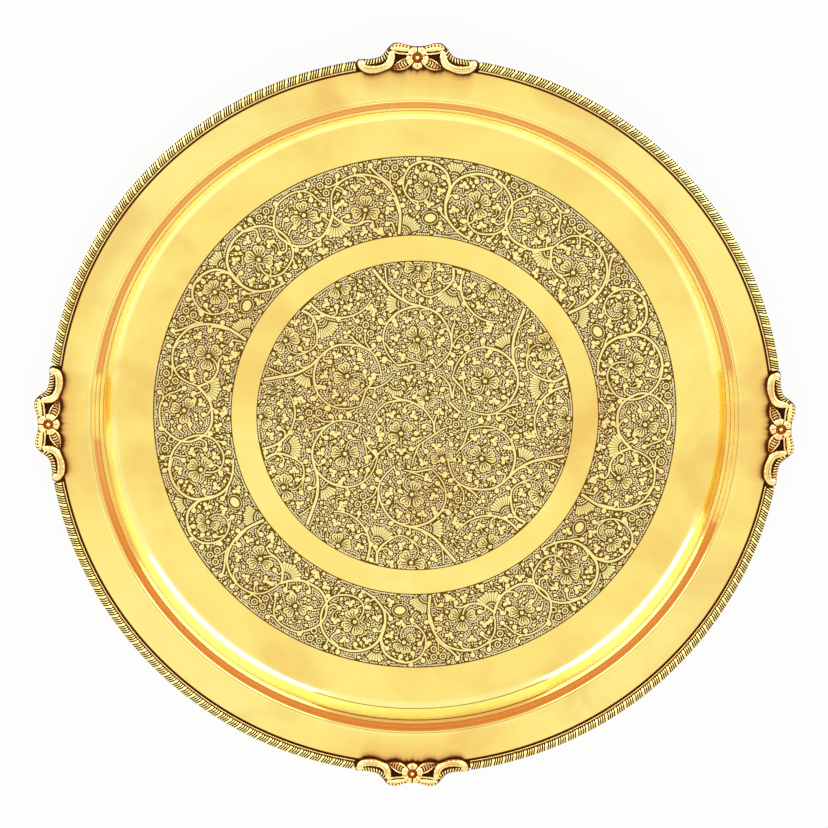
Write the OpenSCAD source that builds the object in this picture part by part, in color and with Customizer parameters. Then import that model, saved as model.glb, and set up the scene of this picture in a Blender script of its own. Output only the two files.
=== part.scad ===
// Thali plate: a pressed brass dish with a deep base, a ribbed step and a flat brim.
// A rope border in four lengths runs round the brim's edge, between four cast ornaments.
// The origin is the centre of the base's underside, +Z is up and +Y is the back of the plate.

/* [Dish] */
// Diameter over the rope border
border_d = 300; // [260:1:340]
// Thickness of the brass sheet
sheet = 1.2; // [0.8:0.1:1.8]
// Radius of the cove where the base turns up into the wall
cove_r = 4.5; // [3.5:0.5:8]
// Height of the upright wall's top above the base
wall_h = 11.5; // [9.5:0.1:14]
// Lean of the upright wall, outwards from plumb, in degrees
wall_lean = 4; // [0:0.5:12]
// Width of the ribbed step between the wall and the brim
step_w = 4.6; // [3.6:0.1:6]
// Rise of the ribbed step
step_rise = 3.7; // [2.8:0.1:5]
// Number of spun ribs on the step
step_ribs = 3; // [2:1:4]
// How far each rib swells out of the step
rib_swell = 0.15; // [0.1:0.05:0.5]
// Width of the brim between the ribbed step and the border
brim_w = 13.5; // [9:0.5:18]
// Rise of the brim towards the border
brim_rise = 1.1; // [0.2:0.1:2.5]
// How far the sheet's cut edge lies inside the border's outer edge
edge_inset = 0.4; // [0.2:0.1:0.8]

/* [Engraved fields] */
// Plain width between the foot of the cove and the engraved ring
plain_w = 14.5; // [8:0.1:18]
// Width of the engraved ring
ring_w = 32; // [20:0.2:34]
// Width of the plain ring between the engraved ring and the engraved disc
plain_ring_w = 10.9; // [6:0.1:16]
// Depth to which the ground between the engraved leaves is sunk
etch = 0.25; // [0.1:0.05:0.4]

/* [Rope border] */
// Width of a border strip
strip_w = 4; // [3.2:0.1:5]
// Height of the rope's crown above the brim
rope_h = 2.2; // [1.9:0.1:3]
// Height of the rope's straight sides
rope_foot = 1; // [0.8:0.1:1.3]
// Width of the low ledge along the strip's inner side
ledge_w = 0.7; // [0.4:0.1:1]
// Height of the ledge
ledge_h = 0.6; // [0.3:0.1:0.7]
// Groups of grooves along one strip
strip_groups = 39; // [24:1:44]
// Slanting grooves in each group
group_grooves = 4; // [3:1:5]
// Width of one groove at the rope's crown
groove_w = 0.5; // [0.3:0.02:0.54]
// Width of the thin ridge between two grooves
ridge_w = 0.4; // [0.3:0.02:0.46]
// Slant of the grooves from the radius, clockwise going outwards, in degrees
groove_slant = 20; // [0:1:30]

/* [Ornaments] */
// Length of an ornament along the rim
orn_len = 48.6; // [42:0.2:54]
// How far an ornament reaches inwards past the border
orn_in = 1.9; // [1:0.1:3]
// How far an ornament reaches out past the border
orn_out = 5.4; // [4:0.1:7]
// Thickness of an ornament's back plate
orn_plate = 1.3; // [1.1:0.1:2]
// Height of the flower's boss above the back plate
boss_h = 1.7; // [1.2:0.1:2.4]
// Radius of the flower's boss
boss_r = 1.2; // [1:0.1:1.4]
// Gap between the boss and the petals
boss_gap = 0.8; // [0.5:0.1:1]
// Radius over the flower's petals
flower_r = 4.9; // [4.2:0.1:5.2]
// Petals of the flower
flower_petals = 5; // [4:1:6]
// Half the width of a petal
petal_half_w = 1.75; // [1.2:0.05:1.8]
// Height of the petals above the back plate
petal_h = 1.2; // [0.8:0.1:1.6]
// Half the width of the inner leaves
leaf_half_w = 2; // [1.4:0.1:2.1]
// Height of the leaves above the back plate
leaf_h = 1; // [0.7:0.1:1.5]
// Ribs across each leaf
leaf_ribs = 4; // [3:1:5]
// Half the width of the outer lobes
lobe_half_w = 1.55; // [1.2:0.05:1.6]
// Height of the lobes above the back plate
lobe_h = 1.3; // [0.8:0.1:1.6]
// Ribs across each lobe
lobe_ribs = 4; // [3:1:5]
// Half the width of the lip under each lobe
lip_half_w = 0.5; // [0.3:0.05:0.6]
// Depth of the hollow beside each leaf
hollow_depth = 0.8; // [0.3:0.1:1]
// Half the width of the smooth inner scroll
scroll_half_w = 1.2; // [0.8:0.05:1.25]
// Height of the smooth inner scroll above the back plate
scroll_h = 1.3; // [0.8:0.1:1.6]
// Half the length of a rung on the outer scroll
rung_half_w = 1; // [0.8:0.05:1.1]
// Thickness of a rung
rung_t = 0.9; // [0.5:0.05:1]
// Height of the rungs above the back plate
rung_h = 1; // [0.6:0.1:1.3]
// Rungs on each outer scroll
scroll_rungs = 9; // [6:1:10]
// Gap between an ornament and the strip beside it
strip_gap = 0.7; // [0.3:0.1:1.5]

/* [Hidden] */

// Levels and radii, worked out from the rim inwards.
border_r = border_d / 2;
strip_in_r = border_r - strip_w;
step_out_r = strip_in_r - brim_w;
wall_r = step_out_r - step_w;
foot_r = wall_r - wall_h * tan(wall_lean);
base_r = foot_r - cove_r * tan((90 - wall_lean) / 2);
ring_out_r = base_r - plain_w;
ring_in_r = ring_out_r - ring_w;
disc_r = ring_in_r - plain_ring_w;
edge_r = border_r - edge_inset;
wall_top_z = sheet + wall_h;
step_top_z = wall_top_z + step_rise;
seat_z = step_top_z + brim_rise;
ground_z = sheet - etch;

// The flat seat starts a little inside the ornaments.
seat_margin = 0.8;
orn_in_r = strip_in_r - orn_in;
orn_out_r = border_r + orn_out;
seat_r = orn_in_r - seat_margin;

quarter = 90;
rib_steps = 8;
cove_steps = 16;
arch_steps = 4;
lathe_fn = 180;
boss_fn = 12;
rung_fn = 4;
path_steps = 6;
petal_steps = 5;
leaf_steps = 5;
overrun = 0.5;
// The grooves run out just above the rope's upright sides.
groove_lift = 0.1;

brass = "#F5D76E";
old_brass = "#D9B45A";

// Points of an arc about a centre, from one angle to another.
function arc(centre, r, from, to, count) = [
    for (i = [0 : count])
        let (a = from + (to - from) * i / count)
        centre + r * [cos(a), sin(a)]];

// A rib or an arched top is an arc that swells out over its chord.
function rib_arc(from, to, swell, steps) =
    let (chord = norm(to - from),
        r = (chord * chord / 4 + swell * swell) / (2 * swell),
        along = (to - from) / chord,
        out = [-along[1], along[0]],
        centre = (from + to) / 2 + out * (swell - r),
        half = asin(chord / 2 / r),
        mid = atan2(out[1], out[0]))
    arc(centre, r, mid + half, mid - half, steps);

step_foot = [wall_r, wall_top_z];
step_top = [step_out_r, step_top_z];
rib_points = [
    for (i = [0 : step_ribs - 1])
        each rib_arc(step_foot + (step_top - step_foot) * i / step_ribs,
            step_foot + (step_top - step_foot) * (i + 1) / step_ribs,
            rib_swell, rib_steps)];

// The sheet's underside runs one thickness below the upper face, corner by corner.
function below(corner, before, after) =
    let (turn = (before + after) / 2, half = (after - before) / 2)
    corner + sheet / cos(half) * [sin(turn), -cos(turn)];
wall_slope = quarter - wall_lean;
step_slope = atan2(step_rise, step_w);
brim_slope = atan2(brim_rise, seat_r - step_out_r);
cove_centre = [base_r, sheet + cove_r];

module sheet_section() {
    polygon(concat(
        [[0, ground_z], [disc_r, ground_z], [disc_r, sheet], [ring_in_r, sheet],
            [ring_in_r, ground_z], [ring_out_r, ground_z], [ring_out_r, sheet]],
        arc(cove_centre, cove_r, -quarter, wall_slope - quarter, cove_steps),
        rib_points,
        [[seat_r, seat_z], [edge_r, seat_z], [edge_r, seat_z - sheet]],
        [below([seat_r, seat_z], brim_slope, 0),
            below(step_top, step_slope, brim_slope),
            below(step_foot, wall_slope, step_slope)],
        arc(cove_centre, cove_r + sheet, wall_slope - quarter, -quarter, cove_steps),
        [[0, 0]]));
}

module dish() {
    color(brass)
    rotate_extrude($fn = lathe_fn)
    sheet_section();
}

// A strip's section: a low ledge inside, and a rope with upright sides and an arched top.
strip_in_w = strip_in_r + ledge_w;
rope_mid_r = (strip_in_w + border_r) / 2;
rope_foot_z = seat_z + rope_foot;
rope_top_z = seat_z + rope_h;
orn_half_angle = orn_len / 2 / border_r * 180 / PI;
gap_angle = strip_gap / border_r * 180 / PI;
strip_from = orn_half_angle + gap_angle;
strip_angle = quarter - 2 * strip_from;
group_angle = strip_angle / strip_groups;
groove_pitch_angle = (groove_w + ridge_w) / rope_mid_r * 180 / PI;
groove_floor_z = rope_foot_z + groove_lift;

module strip_section() {
    polygon(concat(
        [[strip_in_r, seat_z], [strip_in_r, seat_z + ledge_h], [strip_in_w, seat_z + ledge_h]],
        rib_arc([strip_in_w, rope_foot_z], [border_r, rope_foot_z], rope_h - rope_foot, arch_steps),
        [[border_r, seat_z]]));
}

// A chased groove is a wedge: it is widest at the crown and runs out on the rope's flanks.
module groove() {
    rise = rope_top_z - groove_floor_z;
    widen = (rise + overrun) / rise;
    translate([rope_mid_r, 0, groove_floor_z])
    rotate([quarter, 0, quarter - groove_slant])
    linear_extrude(strip_w + 2 * overrun, center = true)
    polygon([[0, 0], [groove_w / 2 * widen, rise + overrun], [-groove_w / 2 * widen, rise + overrun]]);
}

// One length of rope border. The first starts beside the right ornament.
module border_strip(quarter_turns) {
    color(old_brass)
    rotate([0, 0, quarter_turns * quarter + strip_from])
    difference() {
        rotate_extrude(angle = strip_angle, $fn = lathe_fn)
        strip_section();
        for (group = [0 : strip_groups - 1], groove = [0 : group_grooves - 1])
            rotate([0, 0, (group + 1 / 2) * group_angle
                + (groove - (group_grooves - 1) / 2) * groove_pitch_angle])
            groove();
    }
}

module border_strip_back_right() {
    border_strip(0);
}

module border_strip_back_left() {
    border_strip(1);
}

module border_strip_front_left() {
    border_strip(2);
}

module border_strip_front_right() {
    border_strip(3);
}

// Places on an ornament are shares of its half length, and of its width from the inner edge.
outline_shares = [[0, 0.87], [0.1, 0.88], [0.19, 0.93], [0.3, 1], [0.39, 0.98], [0.47, 0.84],
    [0.53, 0.69], [0.59, 0.58], [0.68, 0.53], [0.8, 0.52], [0.92, 0.55], [0.98, 0.54], [1, 0.42],
    [0.96, 0.22], [0.89, 0.06], [0.79, 0], [0.67, 0.01], [0.56, 0.07], [0.47, 0.12], [0.4, 0.05],
    [0.3, 0.01], [0.22, 0.05], [0.16, 0.12], [0.1, 0.08], [0.06, 0.11], [0, 0.04]];
inner_scroll_shares = [[0.41, 0.74], [0.425, 0.5], [0.475, 0.27], [0.58, 0.14], [0.7, 0.115],
    [0.82, 0.15], [0.91, 0.27], [0.945, 0.42]];
outer_scroll_shares = [[0.455, 0.77], [0.51, 0.58], [0.6, 0.455], [0.71, 0.42], [0.82, 0.425],
    [0.89, 0.45]];
leaf_shares = [[0.14, 0.33], [0.23, 0.25], [0.33, 0.17], [0.43, 0.12]];
lobe_shares = [[0.12, 0.72], [0.22, 0.8], [0.33, 0.86], [0.43, 0.83]];
lip_shares = [[0.14, 0.58], [0.24, 0.62], [0.33, 0.66], [0.41, 0.74]];
hollow_shares = [[0.17, 0.47], [0.29, 0.55], [0.4, 0.62], [0.41, 0.45], [0.44, 0.27], [0.36, 0.34],
    [0.27, 0.42]];
flower_share = [0, 0.48];

orn_top_z = seat_z + orn_plate;
// Raised work is bedded this deep in the back plate.
bed = orn_plate / 2;
band_sides = 4;
leaf_sides = 6;
tip_share = 0.15;
root_share = 0.12;
petal_crease_share = 0.35;
leaf_crease_share = 0.7;
lobe_crease_share = 0.35;
rung_crown_share = 0.5;
outer_scroll_h_share = 0.4;

function orn_place(share) =
    let (a = share[0] * orn_half_angle, r = orn_in_r + share[1] * (orn_out_r - orn_in_r))
    r * [sin(a), cos(a)];

// A smooth curve through a few places, with the same number of steps between each two.
function curve_at(p, i, t) =
    let (a = p[max(i - 1, 0)], b = p[i], c = p[i + 1], d = p[min(i + 2, len(p) - 1)])
    b + t / 2 * (c - a + t * (2 * a - 5 * b + 4 * c - d + t * (3 * b - a - 3 * c + d)));
function curve(p, steps) = concat(
    [for (i = [0 : len(p) - 2], k = [0 : steps - 1]) curve_at(p, i, k / steps)],
    [p[len(p) - 1]]);
function orn_curve(shares, steps) = curve([for (share = shares) orn_place(share)], steps);

// The unit direction across a path, to the right of the way it runs.
function across(path, i) =
    let (along = path[min(i + 1, len(path) - 1)] - path[max(i - 1, 0)])
    [along[1], -along[0]] / norm(along);

// How full a piece of raised work is along its length: a band, a leaf or a petal.
blunt = function (t) max(tip_share, sqrt(1 - pow(abs(2 * t - 1), 6)));
pointed = function (t) max(tip_share, sin(180 * pow((t + root_share) / (1 + root_share), 0.8)));
rounded = function (t) max(tip_share, sqrt(sin(180 * pow((t + root_share) / (1 + root_share), 1.3))));

// Raised work: an arched section carried along a path on the back plate.
// Its crown is sunk by the crease, which comes and goes along the path where there are ribs.
module relief(path, half_w, h, fullness, sides = band_sides, crease_share = 0, ribs = 0) {
    last = len(path) - 1;
    ring = sides + 3;
    points = [
        for (i = [0 : last], k = [-1 : sides + 1])
            let (full = fullness(i / last),
                a = 180 * min(max(k, 0), sides) / sides,
                xy = path[i] + across(path, i) * half_w * full * cos(a),
                sunk = crease_share * (1 + cos(360 * ribs * i / last)) / 2,
                up = h * sqrt(full) * sin(a) * (1 - sunk * pow(sin(a), 6)))
            [xy[0], xy[1], orn_top_z + (k < 0 || k > sides ? -bed : up)]];
    skin = [
        for (i = [0 : last - 1], k = [0 : ring - 1])
            let (a = i * ring + k, b = i * ring + (k + 1) % ring)
            each [[a, b, b + ring], [a, b + ring, a + ring]]];
    ends = [[for (k = [0 : ring - 1]) ring - 1 - k], [for (k = [0 : ring - 1]) last * ring + k]];
    polyhedron(points = points, faces = concat(skin, ends));
}

module flower() {
    centre = orn_place(flower_share);
    petal_from = boss_r + boss_gap;
    for (i = [0 : flower_petals - 1]) {
        a = 360 * i / flower_petals - quarter;
        out = [cos(a), sin(a)];
        relief([for (k = [0 : petal_steps])
                centre + out * (petal_from + (flower_r - petal_from) * k / petal_steps)],
            petal_half_w, petal_h, rounded, crease_share = petal_crease_share);
    }
    translate([centre[0], centre[1], orn_top_z])
    rotate_extrude($fn = boss_fn)
    polygon(concat([[0, -bed], [boss_r, -bed]],
        [for (i = [0 : band_sides])
            let (a = quarter * i / band_sides)
            [boss_r * cos(a), boss_h * sin(a)]]));
}

// The rungs run across the outer scroll, like a ladder's.
module rungs() {
    path = orn_curve(outer_scroll_shares, path_steps);
    last = len(path) - 1;
    for (i = [0 : scroll_rungs - 1]) {
        at = round((i + 1 / 2) * last / scroll_rungs);
        full = blunt((i + 1 / 2) / scroll_rungs);
        hull()
        for (end = [-1, 1]) {
            xy = path[at] + across(path, at) * end * (rung_half_w * full - rung_t / 2);
            translate([xy[0], xy[1], orn_top_z - bed])
            cylinder(h = bed + rung_h, d1 = rung_t, d2 = rung_t * rung_crown_share, $fn = rung_fn);
        }
    }
}

// The right half of an ornament's raised work, with the ornament at the back of the plate.
module orn_half() {
    relief(orn_curve(inner_scroll_shares, 2), scroll_half_w, scroll_h, blunt);
    relief(orn_curve(outer_scroll_shares, 2), rung_half_w, rung_h * outer_scroll_h_share, blunt);
    relief(orn_curve(lip_shares, 2), lip_half_w, leaf_h, blunt);
    relief(orn_curve(leaf_shares, leaf_steps), leaf_half_w, leaf_h, pointed, leaf_sides,
        leaf_crease_share, leaf_ribs);
    relief(orn_curve(lobe_shares, leaf_steps), lobe_half_w, lobe_h, pointed, leaf_sides,
        lobe_crease_share, lobe_ribs);
    rungs();
}

module orn_back_plate() {
    half = orn_curve(outline_shares, 2);
    other = [for (i = [len(half) - 2 : -1 : 1]) [-half[i][0], half[i][1]]];
    hollow = [for (share = hollow_shares) orn_place(share)];
    difference() {
        translate([0, 0, seat_z])
        linear_extrude(orn_plate)
        polygon(concat(half, other));
        for (side = [0, 1])
            mirror([side, 0, 0])
            translate([0, 0, orn_top_z - hollow_depth])
            linear_extrude(orn_plate)
            polygon(hollow);
    }
}

// One cast ornament. The first is at the back of the plate.
module ornament(quarter_turns) {
    color(old_brass)
    rotate([0, 0, quarter_turns * quarter])
    union() {
        orn_back_plate();
        flower();
        orn_half();
        mirror([1, 0, 0])
        orn_half();
    }
}

module ornament_back() {
    ornament(0);
}

module ornament_left() {
    ornament(1);
}

module ornament_front() {
    ornament(2);
}

module ornament_right() {
    ornament(3);
}

dish();
border_strip_back_right();
border_strip_back_left();
border_strip_front_left();
border_strip_front_right();
ornament_back();
ornament_left();
ornament_front();
ornament_right();
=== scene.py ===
"""A brass thali plate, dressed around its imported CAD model.

The dish is turned from its section. The engraving, the rope border and the cast ornaments
are raised work in brass, with dark patina left in the hollows."""
import math

import bmesh
import bpy
import numpy as np
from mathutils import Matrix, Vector, bvhtree, kdtree


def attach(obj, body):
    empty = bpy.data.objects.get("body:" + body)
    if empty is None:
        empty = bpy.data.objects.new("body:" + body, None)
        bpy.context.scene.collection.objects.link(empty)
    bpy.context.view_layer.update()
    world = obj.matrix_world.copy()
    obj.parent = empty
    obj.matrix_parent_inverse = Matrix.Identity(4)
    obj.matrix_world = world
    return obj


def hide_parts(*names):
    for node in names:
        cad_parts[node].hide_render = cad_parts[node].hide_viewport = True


bl_info = {
    "name": "Thali Plate",
    "version": (1, 0, 0),
    "blender": (4, 5, 0),
    "location": "View3D > Sidebar > Thali",
    "description": "Builds an engraved brass thali plate with a rope border and cast ornaments",
    "category": "Add Mesh",
}

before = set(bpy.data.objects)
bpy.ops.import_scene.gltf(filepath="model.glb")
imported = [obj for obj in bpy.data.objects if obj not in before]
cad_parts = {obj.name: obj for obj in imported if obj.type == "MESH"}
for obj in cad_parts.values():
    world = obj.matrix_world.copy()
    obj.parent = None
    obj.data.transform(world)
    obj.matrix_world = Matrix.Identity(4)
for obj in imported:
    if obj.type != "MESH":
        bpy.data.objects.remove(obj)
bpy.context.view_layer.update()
MM = 0.001
BODY = "root"
STRIPS = ("border_strip_back_right", "border_strip_back_left",
          "border_strip_front_left", "border_strip_front_right")
ORNAMENTS = ("ornament_back", "ornament_left", "ornament_front", "ornament_right")

# The motifs' places were read, as pixels, in three flat pictures worked out from the photograph:
# the ring unrolled, one sixth of it wide, and two views of the disc from straight above. A scale is in
# pixels to a mm, a middle is the disc's middle in pixels, and a top is what a picture's top row shows:
# the radius in the ring and the height above the middle in the disc, in mm.
RING_WIDE, RING_TOP, RING_SCALE = 1356, 109, 14
DISC_MIDDLE, DISC_TOP, DISC_SCALE = 748, 68, 22
CENTRE_MIDDLE, CENTRE_SCALE = 720, 36
# A vine is (half width at its root, half width at its tip, path), a hook is a path to its ball,
# a trefoil is (place, stem angle), a flower is (place, petal angles, scale),
# a loop flower is (place, loop angles), a fan is (place, from, to, outer radius, inner radius)
# and a daisy is (place, half length, half width, angle). A place is a column and a row of pixels, and
# sizes are in mm. In the ring, a column below 0 lies in the sixth before.
RING_SECTOR = {
    "vines": [
        (0.55, 0.3, [(570, 448), (588, 330), (575, 250), (545, 180), (500, 125), (430, 85), (360, 74),
            (290, 90), (235, 130), (205, 190), (190, 262)]),
        (0.5, 0.35, [(190, 262), (215, 300), (250, 335), (310, 352), (370, 345), (395, 350)]),
        (0.35, 0.3, [(310, 352), (350, 335), (375, 300)]),
        (0.55, 0.3, [(190, 250), (150, 300), (90, 338), (0, 347), (-56, 336), (-106, 300), (-136, 240),
            (-140, 190), (-120, 130), (-60, 65), (-20, 46), (40, 42), (90, 56), (125, 90), (145, 135),
            (165, 172)]),
        (0.55, 0.3, [(870, 195), (865, 150), (840, 90), (790, 52), (725, 35), (665, 58), (628, 108),
            (615, 165), (625, 215), (658, 258), (692, 285)]),
        (0.35, 0.25, [(650, 250), (700, 265), (742, 250), (760, 215), (755, 180)]),
        (0.55, 0.35, [(870, 180), (858, 255), (872, 330), (912, 378), (975, 415), (1060, 438)]),
        (0.55, 0.3, [(865, 215), (890, 140), (940, 90), (1010, 60), (1090, 62), (1160, 92), (1210, 140),
            (1240, 210), (1246, 280), (1215, 345), (1150, 378), (1080, 385), (1022, 355), (1005, 310),
            (1018, 262)]),
        (0.45, 0.3, [(455, 44), (478, 85), (530, 140), (560, 180)]),
        (0.3, 0.25, [(545, 180), (546, 140), (550, 100)]),
        (0.35, 0.2, [(290, 88), (255, 92), (222, 100)]),
        (0.3, 0.2, [(215, 92), (250, 96), (270, 92)]),
        (0.45, 0.25, [(0, 400), (30, 425), (70, 440)]),
        (0.3, 0.2, [(975, 415), (930, 425), (905, 432)]),
        (0.3, 0.2, [(1165, 200), (1180, 240), (1165, 280)]),
    ],
    "hooks": [
        [(165, 280), (150, 262), (145, 235)], [(160, 150), (160, 165), (167, 178)],
        [(305, 85), (272, 85), (285, 50)], [(372, 75), (372, 60), (375, 42)],
        [(455, 80), (440, 60), (457, 38)], [(260, 105), (285, 125), (297, 155)],
        [(375, 80), (415, 95), (427, 130)], [(560, 215), (550, 215), (528, 236)],
        [(200, 215), (215, 240), (225, 215)], [(225, 310), (235, 285), (268, 290)],
        [(580, 330), (560, 245), (530, 240)], [(590, 310), (585, 290), (606, 284)],
        [(360, 345), (410, 355), (400, 380)], [(545, 430), (530, 380), (500, 382)],
        [(475, 440), (455, 440), (452, 425)], [(100, 55), (120, 60), (130, 38)],
        [(60, 45), (75, 50), (70, 75)], [(100, 95), (120, 100), (113, 125)],
        [(135, 215), (110, 250), (98, 238)], [(30, 345), (60, 350), (38, 372)],
        [(60, 340), (20, 320), (18, 298)], [(655, 65), (640, 60), (635, 48)],
        [(620, 120), (605, 130), (600, 152)], [(700, 40), (690, 30), (698, 18)],
        [(735, 45), (760, 50), (752, 72)], [(690, 62), (685, 75), (690, 92)],
        [(625, 200), (635, 170), (650, 152)], [(870, 170), (850, 130), (830, 115)],
        [(860, 275), (880, 215), (912, 215)], [(885, 355), (850, 330), (830, 300)],
        [(965, 85), (1000, 85), (1003, 105)], [(1090, 68), (1140, 100), (1115, 152)],
        [(1235, 250), (1200, 300), (1158, 290)], [(1060, 62), (1085, 50), (1080, 30)],
        [(1150, 90), (1150, 60), (1148, 35)], [(1240, 300), (1240, 320), (1252, 332)],
        [(1200, 365), (1190, 385), (1180, 405)], [(950, 410), (1010, 360), (1000, 385)],
        [(1030, 420), (1050, 425), (1050, 402)], [(1095, 395), (1105, 405), (1112, 422)],
        [(1262, 180), (1290, 150), (1305, 157)], [(1300, 80), (1290, 65), (1300, 46)],
        [(1262, 240), (1290, 215), (1315, 218)], [(690, 262), (695, 280), (697, 300)],
        [(1022, 350), (1045, 330), (1052, 302)], [(975, 330), (965, 350), (990, 345)],
        [(600, 150), (600, 150), (596, 152)],
    ],
    "trefoils": [
        (360, 135, 80), (480, 182, 60), (262, 215, 250), (525, 310, -60), (335, 395, 150), (92, 288, -50),
        (945, 150, -90), (1065, 108, 110), (1152, 215, -80), (915, 298, -70), (1105, 345, -60),
        (825, 203, -50), (765, 270, 80), (850, 398, 20), (1290, 385, -120), (435, 405, 90), (215, 425, 30),
        (45, 410, 60),
    ],
    "flowers": [
        (383, 280, [75, 185, -35], 1.0), (40, 185, [75, 185, -35], 0.95), (740, 160, [105, 40, 215], 0.85),
        (1040, 238, [120, 45, -50], 1.0),
    ],
    "loops": [
        (212, 88, [150, 45, 250]), (553, 88, [140, 40, -50]), (1218, 75, [150, 45, -50]),
    ],
    "fans": [
        (190, 290, 212, 328, 7.3, 1.9), (885, 112, 50, 130, 6.6, 1.9), (588, 452, 12, 82, 8.6, 3.4),
    ],
    "daisies": [
        (775, 355, 2.3, 1.7, 10),
    ],
}

DISC_SECTOR = {
    "vines": [
        (0.6, 0.3, [(370, 130), (470, 250), (560, 350), (680, 428), (790, 465), (880, 490), (970, 545),
            (1035, 635), (1072, 730), (1082, 820), (1062, 895), (1005, 975), (930, 1042)]),
        (0.5, 0.25, [(790, 465), (700, 478), (600, 520), (520, 592), (474, 680), (462, 765), (476, 850),
            (520, 930), (592, 1012)]),
        (0.3, 0.2, [(800, 795), (850, 850), (850, 910), (810, 965)]),
        (0.55, 0.2, [(1095, 115), (1092, 225), (1010, 320), (890, 380), (790, 345), (715, 285),
            (655, 240)]),
        (0.3, 0.2, [(745, 160), (715, 205), (725, 270), (770, 325)]),
        (0.5, 0.3, [(1190, 140), (1163, 260), (1180, 380), (1240, 490), (1330, 570), (1430, 608),
            (1496, 612)]),
        (0.4, 0.25, [(1205, 175), (1240, 180), (1215, 150)]),
        (0.45, 0.3, [(1112, 620), (1090, 680), (1083, 800)]),
        (0.35, 0.25, [(1205, 715), (1130, 760), (1088, 840)]),
        (0.4, 0.2, [(482, 110), (484, 170), (500, 270)]),
        (0.45, 0.25, [(592, 1012), (660, 1000), (740, 985), (850, 1000)]),
        (0.35, 0.2, [(640, 930), (720, 962), (800, 985)]),
    ],
    "hooks": [
        [(640, 500), (560, 560), (577, 637)], [(880, 495), (800, 505), (812, 568)],
        [(1050, 690), (1020, 670), (990, 700)], [(850, 930), (870, 900), (892, 888)],
        [(478, 800), (510, 850), (540, 878)], [(540, 985), (500, 960), (470, 968)],
        [(500, 615), (465, 630), (440, 610)], [(462, 770), (440, 770), (425, 772)],
        [(940, 1040), (930, 1010), (905, 972)], [(1090, 820), (1120, 850), (1142, 835)],
        [(1060, 905), (1080, 900), (1095, 915)], [(1165, 360), (1180, 350), (1150, 300)],
        [(900, 378), (890, 400), (892, 425)], [(940, 520), (950, 505), (967, 498)],
        [(800, 465), (790, 430), (808, 405)], [(690, 430), (640, 380), (655, 325)],
        [(800, 350), (770, 310), (782, 270)], [(1085, 240), (1010, 260), (970, 212)],
        [(1095, 225), (1110, 245), (1110, 272)], [(1110, 120), (1130, 130), (1150, 150)],
        [(1290, 540), (1265, 560), (1262, 597)], [(1178, 370), (1230, 400), (1282, 370)],
        [(1200, 480), (1180, 450), (1195, 440)], [(670, 240), (650, 240), (660, 238)],
        [(760, 340), (730, 330), (735, 358)], [(905, 800), (870, 790), (885, 805)],
        [(1000, 770), (1010, 740), (1000, 770)], [(1365, 790), (1380, 830), (1370, 775)],
        [(1225, 870), (1240, 860), (1225, 843)], [(1040, 960), (1060, 970), (1082, 985)],
        [(520, 600), (540, 590), (560, 600)],
    ],
    "trefoils": [
        (680, 578, 80), (905, 590, 10), (570, 745, 110), (985, 800, -40), (622, 930, -150),
        (1110, 580, -95), (362, 518, 200), (560, 170, 200), (980, 110, 40), (862, 283, 150),
        (1260, 262, 100), (1340, 455, 50), (255, 378, -60), (1420, 650, -160),
    ],
    "flowers": [
        (775, 772, [128, 50, 250], 1.0), (780, 122, [172, 12, -48], 1.0), (1458, 282, [188, 272], 0.95),
    ],
    "loops": [
        (1220, 703, [110, 25, -88]),
    ],
    "fans": [
        (1100, 305, 200, 292, 8.0, 2.6), (645, 440, 148, 218, 7.6, 2.2),
    ],
    "daisies": [],
}

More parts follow.
